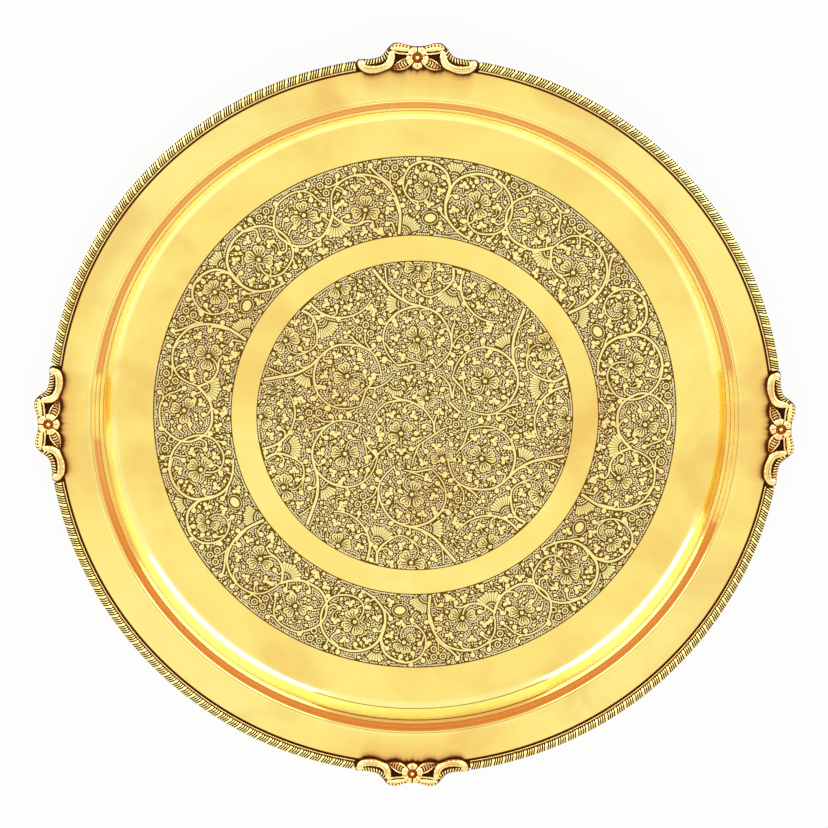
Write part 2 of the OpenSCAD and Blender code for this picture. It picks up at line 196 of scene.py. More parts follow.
DISC_CENTRE = {
    "vines": [
        (0.5, 0.3, [(390, 400), (520, 445), (640, 470), (760, 530), (870, 610), (950, 715), (1000, 810),
            (1022, 960)]),
        (0.45, 0.25, [(600, 455), (440, 465), (300, 500), (190, 590), (110, 690), (60, 790)]),
        (0.4, 0.2, [(1022, 975), (900, 1060), (790, 1135), (690, 1195)]),
        (0.4, 0.25, [(1025, 980), (1120, 905), (1225, 870)]),
        (0.4, 0.25, [(1005, 940), (1015, 800), (1040, 710), (1075, 660)]),
        (0.5, 0.25, [(1285, 430), (1255, 320), (1235, 220), (1150, 110), (1060, 65)]),
        (0.4, 0.25, [(1288, 420), (1300, 300), (1330, 200)]),
        (0.5, 0.3, [(1240, 480), (1330, 580), (1440, 660)]),
        (0.45, 0.25, [(440, 1060), (330, 1150), (240, 1220), (160, 1300), (90, 1400)]),
        (0.4, 0.25, [(790, 1135), (745, 1230), (705, 1340), (685, 1440)]),
        (0.45, 0.2, [(0, 400), (80, 455), (160, 490)]),
        (0.45, 0.25, [(0, 265), (140, 262), (290, 190), (420, 60)]),
        (0.3, 0.2, [(515, 1030), (512, 1100), (518, 1170)]),
        (0.3, 0.2, [(420, 480), (365, 550), (350, 610)]),
        (0.3, 0.2, [(640, 1060), (580, 1020), (560, 1000)]),
        (0.3, 0.2, [(745, 1230), (790, 1330), (860, 1400)]),
    ],
    "hooks": [
        [(150, 640), (155, 700), (200, 760)], [(690, 505), (580, 550), (570, 615)],
        [(975, 860), (900, 820), (858, 855)], [(850, 600), (850, 550), (836, 505)],
        [(1230, 290), (1170, 260), (1130, 292)], [(1365, 610), (1380, 660), (1332, 690)],
        [(850, 1110), (840, 1180), (892, 1240)], [(300, 1180), (320, 1260), (362, 1305)],
        [(190, 1270), (140, 1270), (120, 1245)], [(730, 1180), (700, 1210), (665, 1198)],
        [(1190, 1040), (1230, 1060), (1262, 1130)], [(740, 250), (760, 330), (712, 405)],
        [(690, 20), (790, 0), (835, 60)], [(140, 262), (120, 320), (118, 392)],
        [(1080, 1420), (1090, 1380), (1140, 1380)], [(230, 880), (200, 850), (165, 880)],
        [(260, 1020), (215, 1000), (205, 1060)], [(800, 900), (780, 950), (740, 960)],
        [(830, 1010), (760, 1040), (700, 1050)], [(560, 1380), (560, 1330), (610, 1320)],
        [(1380, 1280), (1350, 1330), (1375, 1370)],
    ],
    "trefoils": [
        (365, 660, 110), (720, 680, 20), (1085, 645, -100), (518, 1215, 90), (620, 100, 100),
        (985, 120, 20), (1045, 1140, 90), (90, 150, -30), (60, 1080, 40), (850, 1395, 60), (200, 950, 60),
    ],
    "flowers": [
        (515, 965, [132, 48, 212], 0.95), (905, 420, [125, 200, -40], 0.75),
        (1130, 1345, [100, 190, 10], 0.8),
    ],
    "loops": [
        (1255, 865, [110, 25]),
    ],
    "fans": [
        (455, 175, 205, 300, 6.4, 3.0),
    ],
    "daisies": [],
}


def linear(hex_colour):
    """An sRGB hex colour as linear RGBA."""
    parts = [int(hex_colour[i:i + 2], 16) / 255 for i in (1, 3, 5)]
    return tuple(p / 12.92 if p <= 0.04045 else ((p + 0.055) / 1.055) ** 2.4 for p in parts) + (1,)


def as_length(name, text, default):
    """A length property, in metres."""
    return bpy.props.FloatProperty(name=name, description=text, default=default,
                                   subtype="DISTANCE", unit="LENGTH")


def as_colour(name, text, hex_colour):
    """A colour property, from an sRGB hex colour."""
    return bpy.props.FloatVectorProperty(name=name, description=text, default=linear(hex_colour),
                                         subtype="COLOR", size=4, min=0, max=1)


def as_angle(name, text, degrees):
    """An angle property."""
    return bpy.props.FloatProperty(name=name, description=text, default=math.radians(degrees),
                                   subtype="ANGLE", unit="ROTATION")


class ThaliDish(bpy.types.PropertyGroup):
    """Sizes of the pressed dish."""
    border_d: as_length("Diameter", "Diameter over the rope border", 0.3)
    sheet: as_length("Sheet", "Thickness of the brass sheet", 0.0012)
    wall_h: as_length("Wall height", "Height of the wall's top above the inside of the base", 0.0115)
    lean: as_angle("Wall lean", "Lean of the wall, outwards", 4)
    cove_r: as_length("Cove radius", "Inside radius of the cove between base and wall", 0.0045)
    step_w: as_length("Step width", "Width of the ribbed step in plan", 0.0046)
    step_rise: as_length("Step rise", "Height gained over the step", 0.0037)
    step_swell: as_length("Rib swell", "How far each rib of the step stands out", 0.00015)
    brim_w: as_length("Brim width", "From the step to the rope border", 0.0135)
    brim_rise: as_length("Brim rise", "Height gained over the brim", 0.0011)
    edge_inset: as_length("Edge inset", "From the sheet's edge to the border's outside", 0.0004)
    plain_w: as_length("Plain base", "Plain band between the cove and the engraved ring", 0.0145)
    ring_w: as_length("Ring width", "Width of the engraved ring", 0.032)
    plain_ring_w: as_length("Plain ring", "Plain ring between the two engraved fields", 0.0109)
    etch: as_length("Etch", "Depth of the ground between the engraved leaves", 0.00025)
    segments: bpy.props.IntProperty(
        name="Segments", description="Steps round the turned dish", default=480, min=64)


class ThaliEngraving(bpy.types.PropertyGroup):
    """Sizes of the engraving."""
    seed_pitch: as_length("Seed pitch", "Distance between two punched seeds of a row", 0.00078)
    seed_row: as_length("Seed rows", "Distance between two rows of punched seeds", 0.00098)
    seed_width: as_length("Seed width", "Width of a punched seed", 0.0009)
    seed_gap: as_length("Seed gap", "From a leaf's edge to the middle of the first row of seeds", 0.00068)
    turn: as_angle("Turn", "Turn of the whole engraving", 0.4)


class ThaliRope(bpy.types.PropertyGroup):
    """Sizes of the rope border."""
    strip_w: as_length("Strip width", "Width of a border strip", 0.004)
    ledge_w: as_length("Ledge width", "Width of the beaded ledge inside the rope", 0.0007)
    ledge_h: as_length("Ledge height", "Height of the ledge above the brim", 0.0005)
    rope_h: as_length("Rope height", "Height of the rope's crown above the brim", 0.0022)
    rope_foot: as_length("Rope foot", "Height of the rope's sides above the brim", 0.001)
    groove_w: as_length("Groove width", "Width of one groove at the crown", 0.00054)
    ridge_w: as_length("Ridge width", "Width of the ridge between two grooves", 0.00048)
    groove_depth: as_length("Groove depth", "Depth of a groove at the crown", 0.00085)
    groups: bpy.props.IntProperty(
        name="Groups", description="Groups of grooves along one strip", default=39)
    slant: as_angle("Slant", "Slant of the grooves, clockwise going outwards", 20)
    bead_pitch: as_length("Bead pitch", "Distance between two beads of the ledge", 0.00078)


class ThaliOrnaments(bpy.types.PropertyGroup):
    """Sizes of the cast ornaments."""
    length: as_length("Length", "Length of an ornament along the rim", 0.0486)
    inward: as_length("Inward reach", "How far an ornament reaches over the brim from the rope", 0.0019)
    outward: as_length("Outward reach", "How far an ornament reaches outside the rope", 0.0054)
    gap: as_length("Gap", "Gap between an ornament and the next strip", 0.0007)
    plate: as_length("Back plate", "Thickness of an ornament's back plate", 0.0013)
    boss_h: as_length("Boss height", "Height of the flower's boss above the back plate", 0.0017)
    steps_along: bpy.props.IntProperty(
        name="Steps along", description="Steps of the relief along the rim", default=480)
    steps_across: bpy.props.IntProperty(
        name="Steps across", description="Steps of the relief across the rim", default=112)


class ThaliFinish(bpy.types.PropertyGroup):
    """Colours of the brass and of the stage."""
    brass: as_colour("Brass", "Polished brass", "#FFE680")
    # Painted pale sheen of the cove, the wall, the step's outer edge and the open brim, and random pale
    # clouds.
    pale_brass: as_colour("Pale brass", "Freshly buffed brass of the cove", "#FFF79E")
    seed_brass: as_colour("Seed brass", "Paler, duller brass of the punched seeds", "#FFF2B8")
    cut_brass: as_colour("Cut brass", "Bright tops of the engraved leaves", "#FFEF9C")
    cast_brass: as_colour("Cast brass", "Paler brass of the castings", "#F1DE98")
    # Orange of the random tarnish clouds, of the orange reflection painted on the step and of the painted
    # warm glow beside the ornaments.
    tarnish: as_colour("Tarnish", "Warm, orange tarnish of the ribs", "#E8A653")
    # The deeper orange reflection painted on the step's front.
    amber: as_colour("Amber", "Deeper orange tarnish of the step's front", "#E38B2A")
    # The red fringe of the ornaments' painted shadow is painted in this colour too.
    stain: as_colour("Stain", "Red-brown edge of the patina", "#B05C2E")
    patina: as_colour("Patina", "Dark brown patina in the engraving", "#6A4C18")
    cast_patina: as_colour("Cast patina", "Red-brown patina in the castings", "#45200F")
    rope_patina: as_colour("Rope patina", "Olive-brown patina in the rope's grooves", "#2C2104")
    # Dark brown of the painted shadows, in the corner along the rope border and beside the ornaments.
    shadow_brown: as_colour("Wax", "Dark polish left in the corners of the brim", "#441A0A")
    floor: as_colour("Floor", "Pale studio floor", "#F6F6F6")


def levels():
    """The dish's radii and heights in mm, worked out as the CAD source does."""
    scene = bpy.context.scene
    dish = scene.thali_dish
    cove, lean = dish.cove_r / MM, dish.lean
    border_r = dish.border_d / 2 / MM
    r = {"border": border_r, "edge": border_r - dish.edge_inset / MM, "cove": cove,
         "strip_in": border_r - scene.thali_rope.strip_w / MM}
    r["step_out"] = r["strip_in"] - dish.brim_w / MM
    r["wall"] = r["step_out"] - dish.step_w / MM
    r["foot"] = r["wall"] - dish.wall_h / MM * math.tan(lean)
    r["base"] = r["foot"] - cove * math.tan((math.pi / 2 - lean) / 2)
    r["ring_out"] = r["base"] - dish.plain_w / MM
    r["ring_in"] = r["ring_out"] - dish.ring_w / MM
    r["disc"] = r["ring_in"] - dish.plain_ring_w / MM
    r["cast_in"] = r["strip_in"] - scene.thali_ornaments.inward / MM
    r["cast_out"] = r["border"] + scene.thali_ornaments.outward / MM
    # The brim is level from just inside the ornaments outwards.
    r["seat"] = r["cast_in"] - 0.8
    sheet = dish.sheet / MM
    z = {"sheet": sheet, "ground": sheet - dish.etch / MM, "wall_top": sheet + dish.wall_h / MM}
    z["step_top"] = z["wall_top"] + dish.step_rise / MM
    z["seat"] = z["step_top"] + dish.brim_rise / MM
    return r, z, lean


# Materials

def node(tree, kind, links=None, **settings):
    """Adds a node. Settings set its properties or, for a socket, its value. Links join its inputs."""
    new = tree.nodes.new(kind)
    for key, value in settings.items():
        if hasattr(new, key):
            setattr(new, key, value)
    for key, value in settings.items():
        if not hasattr(new, key):
            sockets = [i for i in new.inputs if i.name == key.replace("_", " ") and i.enabled]
            sockets[0].default_value = value
    for key, source in (links or {}).items():
        named = [i for i in new.inputs if i.name == key and i.enabled and isinstance(key, str)]
        tree.links.new(source, named[0] if named else new.inputs[key])
    return new


def new_material(name):
    """A material with its tree and its shader."""
    material = bpy.data.materials.new(name)
    material.use_nodes = True
    tree = material.node_tree
    return material, tree, tree.nodes["Principled BSDF"]


def map_range(tree, source, low, high, to_low=0.0, to_high=1.0):
    """Maps a range of a value onto another, smoothly."""
    mapped = node(tree, "ShaderNodeMapRange", {"Value": source}, interpolation_type="SMOOTHSTEP")
    for socket, value in zip(("From Min", "From Max", "To Min", "To Max"), (low, high, to_low, to_high)):
        mapped.inputs[socket].default_value = value
    return mapped.outputs["Result"]


def math_node(tree, operation, a, b=0.0, clamp=False):
    """A math node whose inputs are sockets or numbers."""
    step = node(tree, "ShaderNodeMath", operation=operation, use_clamp=clamp)
    for socket, value in zip(step.inputs, (a, b)):
        if isinstance(value, bpy.types.NodeSocket):
            tree.links.new(value, socket)
        else:
            socket.default_value = value
    return step.outputs[0]


def ornament_shade_and_sheen(tree, coords, radius):
    """A painted shadow on the brim beside each ornament: dark, then red, then a painted warm glow.
    The painted pale sheen on the open stretch between two ornaments is returned too."""
    r, _, _ = levels()
    split = node(tree, "ShaderNodeSeparateXYZ", {"Vector": coords})
    around = math_node(tree, "ARCTAN2", split.outputs["Y"], split.outputs["X"])
    aside = math_node(tree, "PINGPONG", around, math.pi / 4)
    half_angle = bpy.context.scene.thali_ornaments.length / 2 / MM / r["border"]
    share = math_node(tree, "DIVIDE", aside, half_angle)
    edge = node(tree, "ShaderNodeValToRGB", {"Fac": share})
    stops = edge.color_ramp.elements
    for k, (place, value) in enumerate(sorted(INNER_EDGE)):
        stop = stops[k] if k < 2 else stops.new(place)
        stop.position, stop.color = place, (value, value, value, 1)
    reach = (r["cast_out"] - r["cast_in"]) * MM
    edge_r = math_node(tree, "ADD", math_node(tree, "MULTIPLY", edge.outputs["Color"], reach),
                       r["cast_in"] * MM)
    gap = math_node(tree, "SUBTRACT", edge_r, radius)
    beside = map_range(tree, share, 1.06, 0.99)
    # The painted shadow is dark within 1.7 mm of an ornament, with a red fringe within 4.2 mm, and a painted
    # warm glow lies within 13 mm.
    dark = math_node(tree, "MULTIPLY", map_range(tree, gap, 0.0017, 0.0003), beside)
    shadow_fringe = math_node(tree, "MULTIPLY", map_range(tree, gap, 0.0042, 0.0008), beside)
    glow = math_node(tree, "MULTIPLY", map_range(tree, gap, 0.013, 0.001), map_range(tree, share, 2.0, 0.7))
    # A pale sheen is painted on the brim away from the ornaments.
    brim = map_range(tree, radius, (r["step_out"] + 0.5) * MM, (r["step_out"] + 3) * MM)
    return dark, shadow_fringe, glow, math_node(tree, "MULTIPLY", brim, map_range(tree, share, 1.6, 3.4, 0, 0.4))


def step_reflection_kept(tree, coords, radius):
    """Where the step's painted orange reflection is kept: 0 at two places, east and west, where the step is
    left plain, 1 elsewhere.
    """
    r, _, _ = levels()
    kept = 1.0
    for azimuth, reach in ((356, 0.034), (177, 0.015)):
        a = math.radians(azimuth)
        away = node(tree, "ShaderNodeVectorMath", {0: coords}, operation="DISTANCE")
        away.inputs[1].default_value = (r["wall"] * MM * math.cos(a), r["wall"] * MM * math.sin(a), 0.014)
        left = map_range(tree, away.outputs["Value"], reach * 0.75, reach)
        kept = math_node(tree, "MULTIPLY", left, kept)
    beyond = map_range(tree, radius, (r["step_out"] + 0.3) * MM, (r["step_out"] + 1) * MM)
    return math_node(tree, "MAXIMUM", kept, beyond)


def brass_material(name, bright, dark, roughness, stain, spun):
    """Brass with patina and tarnish, and painted reflections, sheen and shadows, where the mesh's attributes
    say so.

    Polished brass is a metal with a warm yellow reflection. Buffing leaves it nearly a mirror,
    with a little haze, and spinning leaves fine rings round the axis. The patina attribute runs
    from 0, bright, over 1, dark, to 2, a painted dark shadow. The warm attribute is 1 where an orange
    reflection is painted on the step, and falls below 0 where a pale sheen is painted, down to -2 on the
    satin wall."""
    material, tree, shader = new_material(name)
    coords = node(tree, "ShaderNodeTexCoord").outputs["Object"]
    patina = node(tree, "ShaderNodeAttribute", attribute_name="patina").outputs["Fac"]
    layers = node(tree, "ShaderNodeAttribute", attribute_name="warm").outputs["Fac"]
    # Clouds of tarnish, about 45 mm across, and a fine grain of about 1.5 mm.
    cloud = node(tree, "ShaderNodeTexNoise", {"Vector": coords}, Scale=22.0, Detail=3.0,
                 Roughness=0.55, Distortion=0.6).outputs["Fac"]
    grain = node(tree, "ShaderNodeTexNoise", {"Vector": coords}, Scale=700.0, Detail=2.0).outputs["Fac"]
    warmth = map_range(tree, cloud, 0.45, 0.75, 0, stain)
    pale_clouds_and_sheen = map_range(tree, cloud, 0.48, 0.28, 0, stain)
    height, distance = grain, 0.00001
    if spun:
        # Rings left by spinning, about 0.8 mm apart, drawn coarser than the real ones.
        flat = node(tree, "ShaderNodeVectorMath", {0: coords}, operation="MULTIPLY")
        flat.inputs[1].default_value = (1, 1, 0)
        radius = node(tree, "ShaderNodeVectorMath", {0: flat.outputs[0]}, operation="LENGTH")
        radius = radius.outputs["Value"]
        height = node(tree, "ShaderNodeTexNoise", {"W": radius}, noise_dimensions="1D",
                      Scale=1250.0, Detail=2.0).outputs["Fac"]
        distance = 0.000004
        ornament_shadow, shadow_fringe, glow, brim_sheen = ornament_shade_and_sheen(tree, coords, radius)
        warmth = math_node(tree, "MAXIMUM", warmth, math_node(tree, "MULTIPLY", glow, 0.5))
        # The painted sheen of the open brim joins the random pale clouds.
        pale_clouds_and_sheen = math_node(tree, "MAXIMUM", pale_clouds_and_sheen, brim_sheen)
        layers = math_node(tree, "MULTIPLY", layers, step_reflection_kept(tree, coords, radius))
        # The step's painted orange reflection is deeper towards the front.
        front = node(tree, "ShaderNodeSeparateXYZ", {"Vector": coords}).outputs["Y"]
        front_orange = math_node(tree, "MULTIPLY", layers, map_range(tree, front, -0.01, -0.06), clamp=True)
        patina = math_node(tree, "MAXIMUM", patina, math_node(tree, "MULTIPLY", front_orange, 0.08))
        # The red fringe of the painted shadow is painted in through the patina.
        patina = math_node(tree, "MAXIMUM", patina, math_node(tree, "MULTIPLY", shadow_fringe, 0.22))
    warmth = math_node(tree, "MAXIMUM", warmth, layers)
    # The grain eats into the patina's edge, so the two finishes don't meet in a clean line.
    # Above a patina of 1 the colour turns to the painted shadow's dark brown.
    shadow_brown = map_range(tree, patina, 1.05, 1.9)
    # Beside the ornaments the painted shadow takes the dark brown.
    if spun:
        shadow_brown = math_node(tree, "MAXIMUM", shadow_brown, math_node(tree, "MULTIPLY", ornament_shadow, 0.95))
    eaten = math_node(tree, "MULTIPLY", patina, math_node(tree, "SUBTRACT", grain, 0.35))
    patina = math_node(tree, "ADD", patina, eaten, clamp=True)
    finish = bpy.context.scene.thali_finish
    # Painted pale sheen on the cove, the wall, the step's outer edge and the open brim, with the random pale
    # clouds.
    buffed_and_sheen = math_node(tree, "MAXIMUM", map_range(tree, layers, -0.5, -2), pale_clouds_and_sheen)
    coats = [(buffed_and_sheen, finish.pale_brass), (warmth, finish.tarnish)]
    if spun:
        coats.append((front_orange, finish.amber))
    coats += [(map_range(tree, patina, 0, 0.5), finish.stain), (map_range(tree, patina, 0.35, 0.9), dark),
              (shadow_brown, finish.shadow_brown)]
    colour = bright
    for share, layer in coats:
        mix = node(tree, "ShaderNodeMix", {0: share}, data_type="RGBA", B=list(layer))
        if isinstance(colour, bpy.types.NodeSocket):
            tree.links.new(colour, next(i for i in mix.inputs if i.name == "A" and i.enabled))
        else:
            next(i for i in mix.inputs if i.name == "A" and i.enabled).default_value = colour
        colour = mix.outputs["Result"]
    tree.links.new(colour, shader.inputs["Base Color"])
    # Where the step's orange reflection is painted, a veil hides part of the metal, and the wall is only
    # satin polished, so both lose some of the mirror. Patina is a thin film, which stays metallic but dull.
    orange_veil = map_range(tree, layers, 0.2, 1, 0, 0.95)
    satin = map_range(tree, layers, -1.5, -2, 0, 0.6)
    veil = math_node(tree, "MAXIMUM", orange_veil, satin)
    tree.links.new(math_node(tree, "SUBTRACT", 1.0, veil), shader.inputs["Metallic"])
    shader.inputs["Specular IOR Level"].default_value = 0.15 if spun else 0.5
    dull = math_node(tree, "MAXIMUM", patina, veil)
    tree.links.new(map_range(tree, dull, 0, 1, roughness, 0.55), shader.inputs["Roughness"])
    bump = node(tree, "ShaderNodeBump", {"Height": height}, Distance=distance, Strength=0.35)
    tree.links.new(bump.outputs["Normal"], shader.inputs["Normal"])
    return material


def floor_material(colour):
    """Studio paper, matt and pale. The camera sees it overexposed, as in the photograph, so that
    only a faint, soft shadow is left."""
    material, tree, shader = new_material("matt_studio_paper")
    shader.inputs["Base Color"].default_value = colour
    shader.inputs["Roughness"].default_value = 0.9
    shader.inputs["Specular IOR Level"].default_value = 0.1
    seen = node(tree, "ShaderNodeLightPath").outputs["Is Camera Ray"]
    glow = node(tree, "ShaderNodeEmission", Color=(1, 1, 1, 1), Strength=1.0)
    both = node(tree, "ShaderNodeMixShader", {0: math_node(tree, "MULTIPLY", seen, 0.9),
                                              1: shader.outputs[0], 2: glow.outputs[0]})
    tree.links.new(both.outputs[0], tree.nodes["Material Output"].inputs["Surface"])
    return material


def finish_material(name):
    """Makes a named brass finish once, and returns it."""
    if name in bpy.data.materials:
        return bpy.data.materials[name]
    finish = bpy.context.scene.thali_finish
    # Bright brass, patina, roughness, share of tarnish in the clouds, and whether it is spun.
    bright, dark, roughness, stain, spun = {
        "spun_polished_brass": (finish.brass, finish.patina, 0.08, 0.45, True),
        "engraved_brass": (finish.cut_brass, finish.patina, 0.2, 0.3, False),
        "punched_brass": (finish.seed_brass, finish.patina, 0.32, 0.35, False),
        "chased_cast_brass": (finish.cut_brass, finish.rope_patina, 0.4, 0.3, False),
        "antiqued_cast_brass": (finish.cast_brass, finish.cast_patina, 0.28, 0.3, False),
    }[name]
    return brass_material(name, list(bright), list(dark), roughness, stain, spun)


# Meshes

def new_object(name, verts, faces, patina=None):
    """A mesh object from points in mm. Patina runs from 0, bright, over 1, dark, to 2, a painted dark
    shadow.
    """
    mesh = bpy.data.meshes.new(name)
    mesh.from_pydata([(x * MM, y * MM, z * MM) for x, y, z in verts], [], faces)
    if patina is not None:
        mesh.attributes.new("patina", "FLOAT", "POINT").data.foreach_set("value", patina)
    mesh.update()
    piece = bpy.data.objects.new(name, mesh)
    bpy.context.scene.collection.objects.link(piece)
    return piece


def set_input(modifier, name, value):
    """Sets a Geometry Nodes input by its socket's identifier."""
    for item in modifier.node_group.interface.items_tree:
        if item.item_type == "SOCKET" and item.in_out == "INPUT" and item.name == name:
            modifier[item.identifier] = value
            return
    raise RuntimeError(f"the tree has no input named {name}")


def grown(name, source, tree, inputs):
    """Runs a Geometry Nodes tree on a source object and returns the result as a plain piece."""
    modifier = source.modifiers.new(tree.name, "NODES")
    modifier.node_group = tree
    for key, value in inputs.items():
        set_input(modifier, key, value)
    graph = bpy.context.evaluated_depsgraph_get()
    mesh = bpy.data.meshes.new_from_object(source.evaluated_get(graph), depsgraph=graph)
    source.modifiers.remove(modifier)
    mesh.name = name
    piece = bpy.data.objects.new(name, mesh)
    bpy.context.scene.collection.objects.link(piece)
    if not len(mesh.vertices):
        raise RuntimeError(f"{name} came out empty")
    return piece


def drop(*objects):
    """Deletes helper objects."""
    for scrap in objects:
        bpy.data.objects.remove(scrap)


def tree_frame(name, sockets):
    """A Geometry Nodes tree with a Geometry input, named inputs and a Geometry output."""
    tree = bpy.data.node_groups.new(name, "GeometryNodeTree")
    tree.interface.new_socket("Geometry", in_out="INPUT", socket_type="NodeSocketGeometry")
    for socket, kind, value in sockets:
        item = tree.interface.new_socket(socket, in_out="INPUT", socket_type=kind)
        if value is not None:
            item.default_value = value
    tree.interface.new_socket("Geometry", in_out="OUTPUT", socket_type="NodeSocketGeometry")
    return tree, node(tree, "NodeGroupInput").outputs, node(tree, "NodeGroupOutput")


def finish_tree(tree, inputs, output, geometry, merge=None):
    """Realize Instances, an optional merge, then Set Material."""
    real = node(tree, "GeometryNodeRealizeInstances", {0: geometry}).outputs[0]
    if merge:
        real = node(tree, "GeometryNodeMergeByDistance", {"Geometry": real}, Distance=merge).outputs[0]
    done = node(tree, "GeometryNodeSetMaterial", {"Geometry": real, "Material": inputs["Material"]})
    tree.links.new(done.outputs[0], output.inputs[0])
    return tree


def turning_tree():
    """Turns a section round the Z axis: the section's points hold the radius in X and the height in Z."""
    tree, inputs, output = tree_frame("turn_section", [
        ("Segments", "NodeSocketInt", 480), ("Points", "NodeSocketInt", 10),
        ("Material", "NodeSocketMaterial", None)])
    grid = node(tree, "GeometryNodeMeshGrid", {"Vertices X": inputs["Segments"],
                                               "Vertices Y": inputs["Points"]},
                Size_X=1.0, Size_Y=1.0)
    index = node(tree, "GeometryNodeInputIndex").outputs[0]
    column = math_node(tree, "FLOOR", math_node(tree, "DIVIDE", index, inputs["Points"]))
    row = math_node(tree, "ROUND", math_node(tree, "MODULO", index, inputs["Points"]))
    place = node(tree, "GeometryNodeInputPosition").outputs[0]
    sample = node(tree, "GeometryNodeSampleIndex", {"Geometry": inputs["Geometry"],
                                                    "Value": place, "Index": row},
                  data_type="FLOAT_VECTOR")
    last = math_node(tree, "SUBTRACT", inputs["Segments"], 1)
    angle = math_node(tree, "MULTIPLY", math_node(tree, "DIVIDE", column, last), 2 * math.pi)
    turned = node(tree, "ShaderNodeVectorRotate", {"Vector": sample.outputs[0], "Angle": angle},
                  rotation_type="Z_AXIS")
    moved = node(tree, "GeometryNodeSetPosition", {"Geometry": grid.outputs["Mesh"],
                                                   "Position": turned.outputs[0]})
    kept = moved.outputs[0]
    for name in ("patina", "warm"):
        mark = node(tree, "GeometryNodeInputNamedAttribute", data_type="FLOAT", Name=name)
        value = node(tree, "GeometryNodeSampleIndex", {"Geometry": inputs["Geometry"],
                                                       "Value": mark.outputs[0],
                                                       "Index": row}, data_type="FLOAT")
        kept = node(tree, "GeometryNodeStoreNamedAttribute", {"Geometry": kept,
                                                              "Value": value.outputs[0]},
                    data_type="FLOAT", domain="POINT", Name=name).outputs[0]
    return finish_tree(tree, inputs, output, kept, 1e-7)


def round_tree():
    """Repeats a piece round the Z axis."""
    tree, inputs, output = tree_frame("repeat_round", [
        ("Copies", "NodeSocketInt", 6), ("Step", "NodeSocketFloat", 1.0),
        ("Start", "NodeSocketFloat", 0.0), ("Merge", "NodeSocketFloat", 1e-7),
        ("Material", "NodeSocketMaterial", None)])
    line = node(tree, "GeometryNodeMeshLine", {"Count": inputs["Copies"]}, Offset=(0, 0, 0))
    index = node(tree, "GeometryNodeInputIndex").outputs[0]
    angle = node(tree, "ShaderNodeMath", {0: index, 1: inputs["Step"], 2: inputs["Start"]},
                 operation="MULTIPLY_ADD")
    turn = node(tree, "ShaderNodeCombineXYZ", {"Z": angle.outputs[0]})
    copies = node(tree, "GeometryNodeInstanceOnPoints", {"Points": line.outputs[0],
                                                         "Instance": inputs["Geometry"],
                                                         "Rotation": turn.outputs[0]})
    real = node(tree, "GeometryNodeRealizeInstances", {0: copies.outputs[0]}).outputs[0]
    merged = node(tree, "GeometryNodeMergeByDistance", {"Geometry": real,
                                                        "Distance": inputs["Merge"]})
    return finish_tree(tree, inputs, output, merged.outputs[0])


def sowing_tree():
    """Sets a seed on every point, each a little turned and with a size of its own."""
    tree, inputs, output = tree_frame("sow_seeds", [
        ("Seed", "NodeSocketObject", None), ("Size change", "NodeSocketFloat", 0.12),
        ("Random seed", "NodeSocketInt", 7), ("Material", "NodeSocketMaterial", None)])
    shape = node(tree, "GeometryNodeObjectInfo", {"Object": inputs["Seed"]})
    low = math_node(tree, "SUBTRACT", 1.0, inputs["Size change"])
    high = math_node(tree, "ADD", 1.0, inputs["Size change"])
    size = node(tree, "FunctionNodeRandomValue", {2: low, 3: high, "Seed": inputs["Random seed"]},
                data_type="FLOAT")
    spin = node(tree, "FunctionNodeRandomValue", {"Seed": inputs["Random seed"]}, data_type="FLOAT")
    spin.inputs[3].default_value = math.pi
    turn = node(tree, "ShaderNodeCombineXYZ", {"Z": spin.outputs[1]})
    seeds = node(tree, "GeometryNodeInstanceOnPoints", {"Points": inputs["Geometry"],
                                                        "Instance": shape.outputs["Geometry"],
                                                        "Rotation": turn.outputs[0],
                                                        "Scale": size.outputs[1]})
    return finish_tree(tree, inputs, output, seeds.outputs[0])


def tidy(piece, sharp=None, closed=True):
    """Merges doubles and turns the faces outwards, then shades the piece smooth."""
    mesh = piece.data
    work = bmesh.new()
    work.from_mesh(mesh)
    bmesh.ops.remove_doubles(work, verts=work.verts, dist=1e-8)
    bmesh.ops.dissolve_degenerate(work, edges=work.edges, dist=1e-8)
    if closed:
        bmesh.ops.recalc_face_normals(work, faces=work.faces)
    for face in work.faces:
        face.smooth = True
    work.to_mesh(mesh)
    work.free()
    if sharp:
        mesh.set_sharp_from_angle(angle=math.radians(sharp))
    return piece


def place_piece(piece, slot, *nodes):
    """Rides the piece on the plate and hides the CAD nodes that it takes the place of. The slot is not used.
    """
    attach(piece, BODY)
    for name in nodes:
        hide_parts(name)


def arc(cx, cz, r, start, end, count):
    """Points of an arc in the section's plane."""
    angles = [start + (end - start) * i / count for i in range(count + 1)]
    return [(cx + r * math.cos(a), cz + r * math.sin(a)) for a in angles]


def rib(start, end, swell, steps):
    """An arc that swells out over its chord, as points without the last."""
    ax, az = start
    bx, bz = end
    chord = math.hypot(bx - ax, bz - az)
    r = (chord * chord / 4 + swell * swell) / (2 * swell)
    out = (-(bz - az) / chord, (bx - ax) / chord)
    cx = (ax + bx) / 2 + out[0] * (swell - r)
    cz = (az + bz) / 2 + out[1] * (swell - r)
    middle = math.atan2(out[1], out[0])
    half = math.asin(chord / 2 / r)
    return arc(cx, cz, r, middle + half, middle - half, steps)


def smooth_path(points, steps):
    """A smooth curve through a few places."""
    p = [np.array(q, float) for q in points]
    out = []
    for i in range(len(p) - 1):
        a, b, c, d = p[max(i - 1, 0)], p[i], p[i + 1], p[min(i + 2, len(p) - 1)]
        for k in range(steps):
            t = k / steps
            out.append(b + t / 2 * (c - a + t * (2 * a - 5 * b + 4 * c - d
                                                 + t * (3 * b - a - 3 * c + d))))
    out.append(p[-1])
    return np.array(out)


# The dish

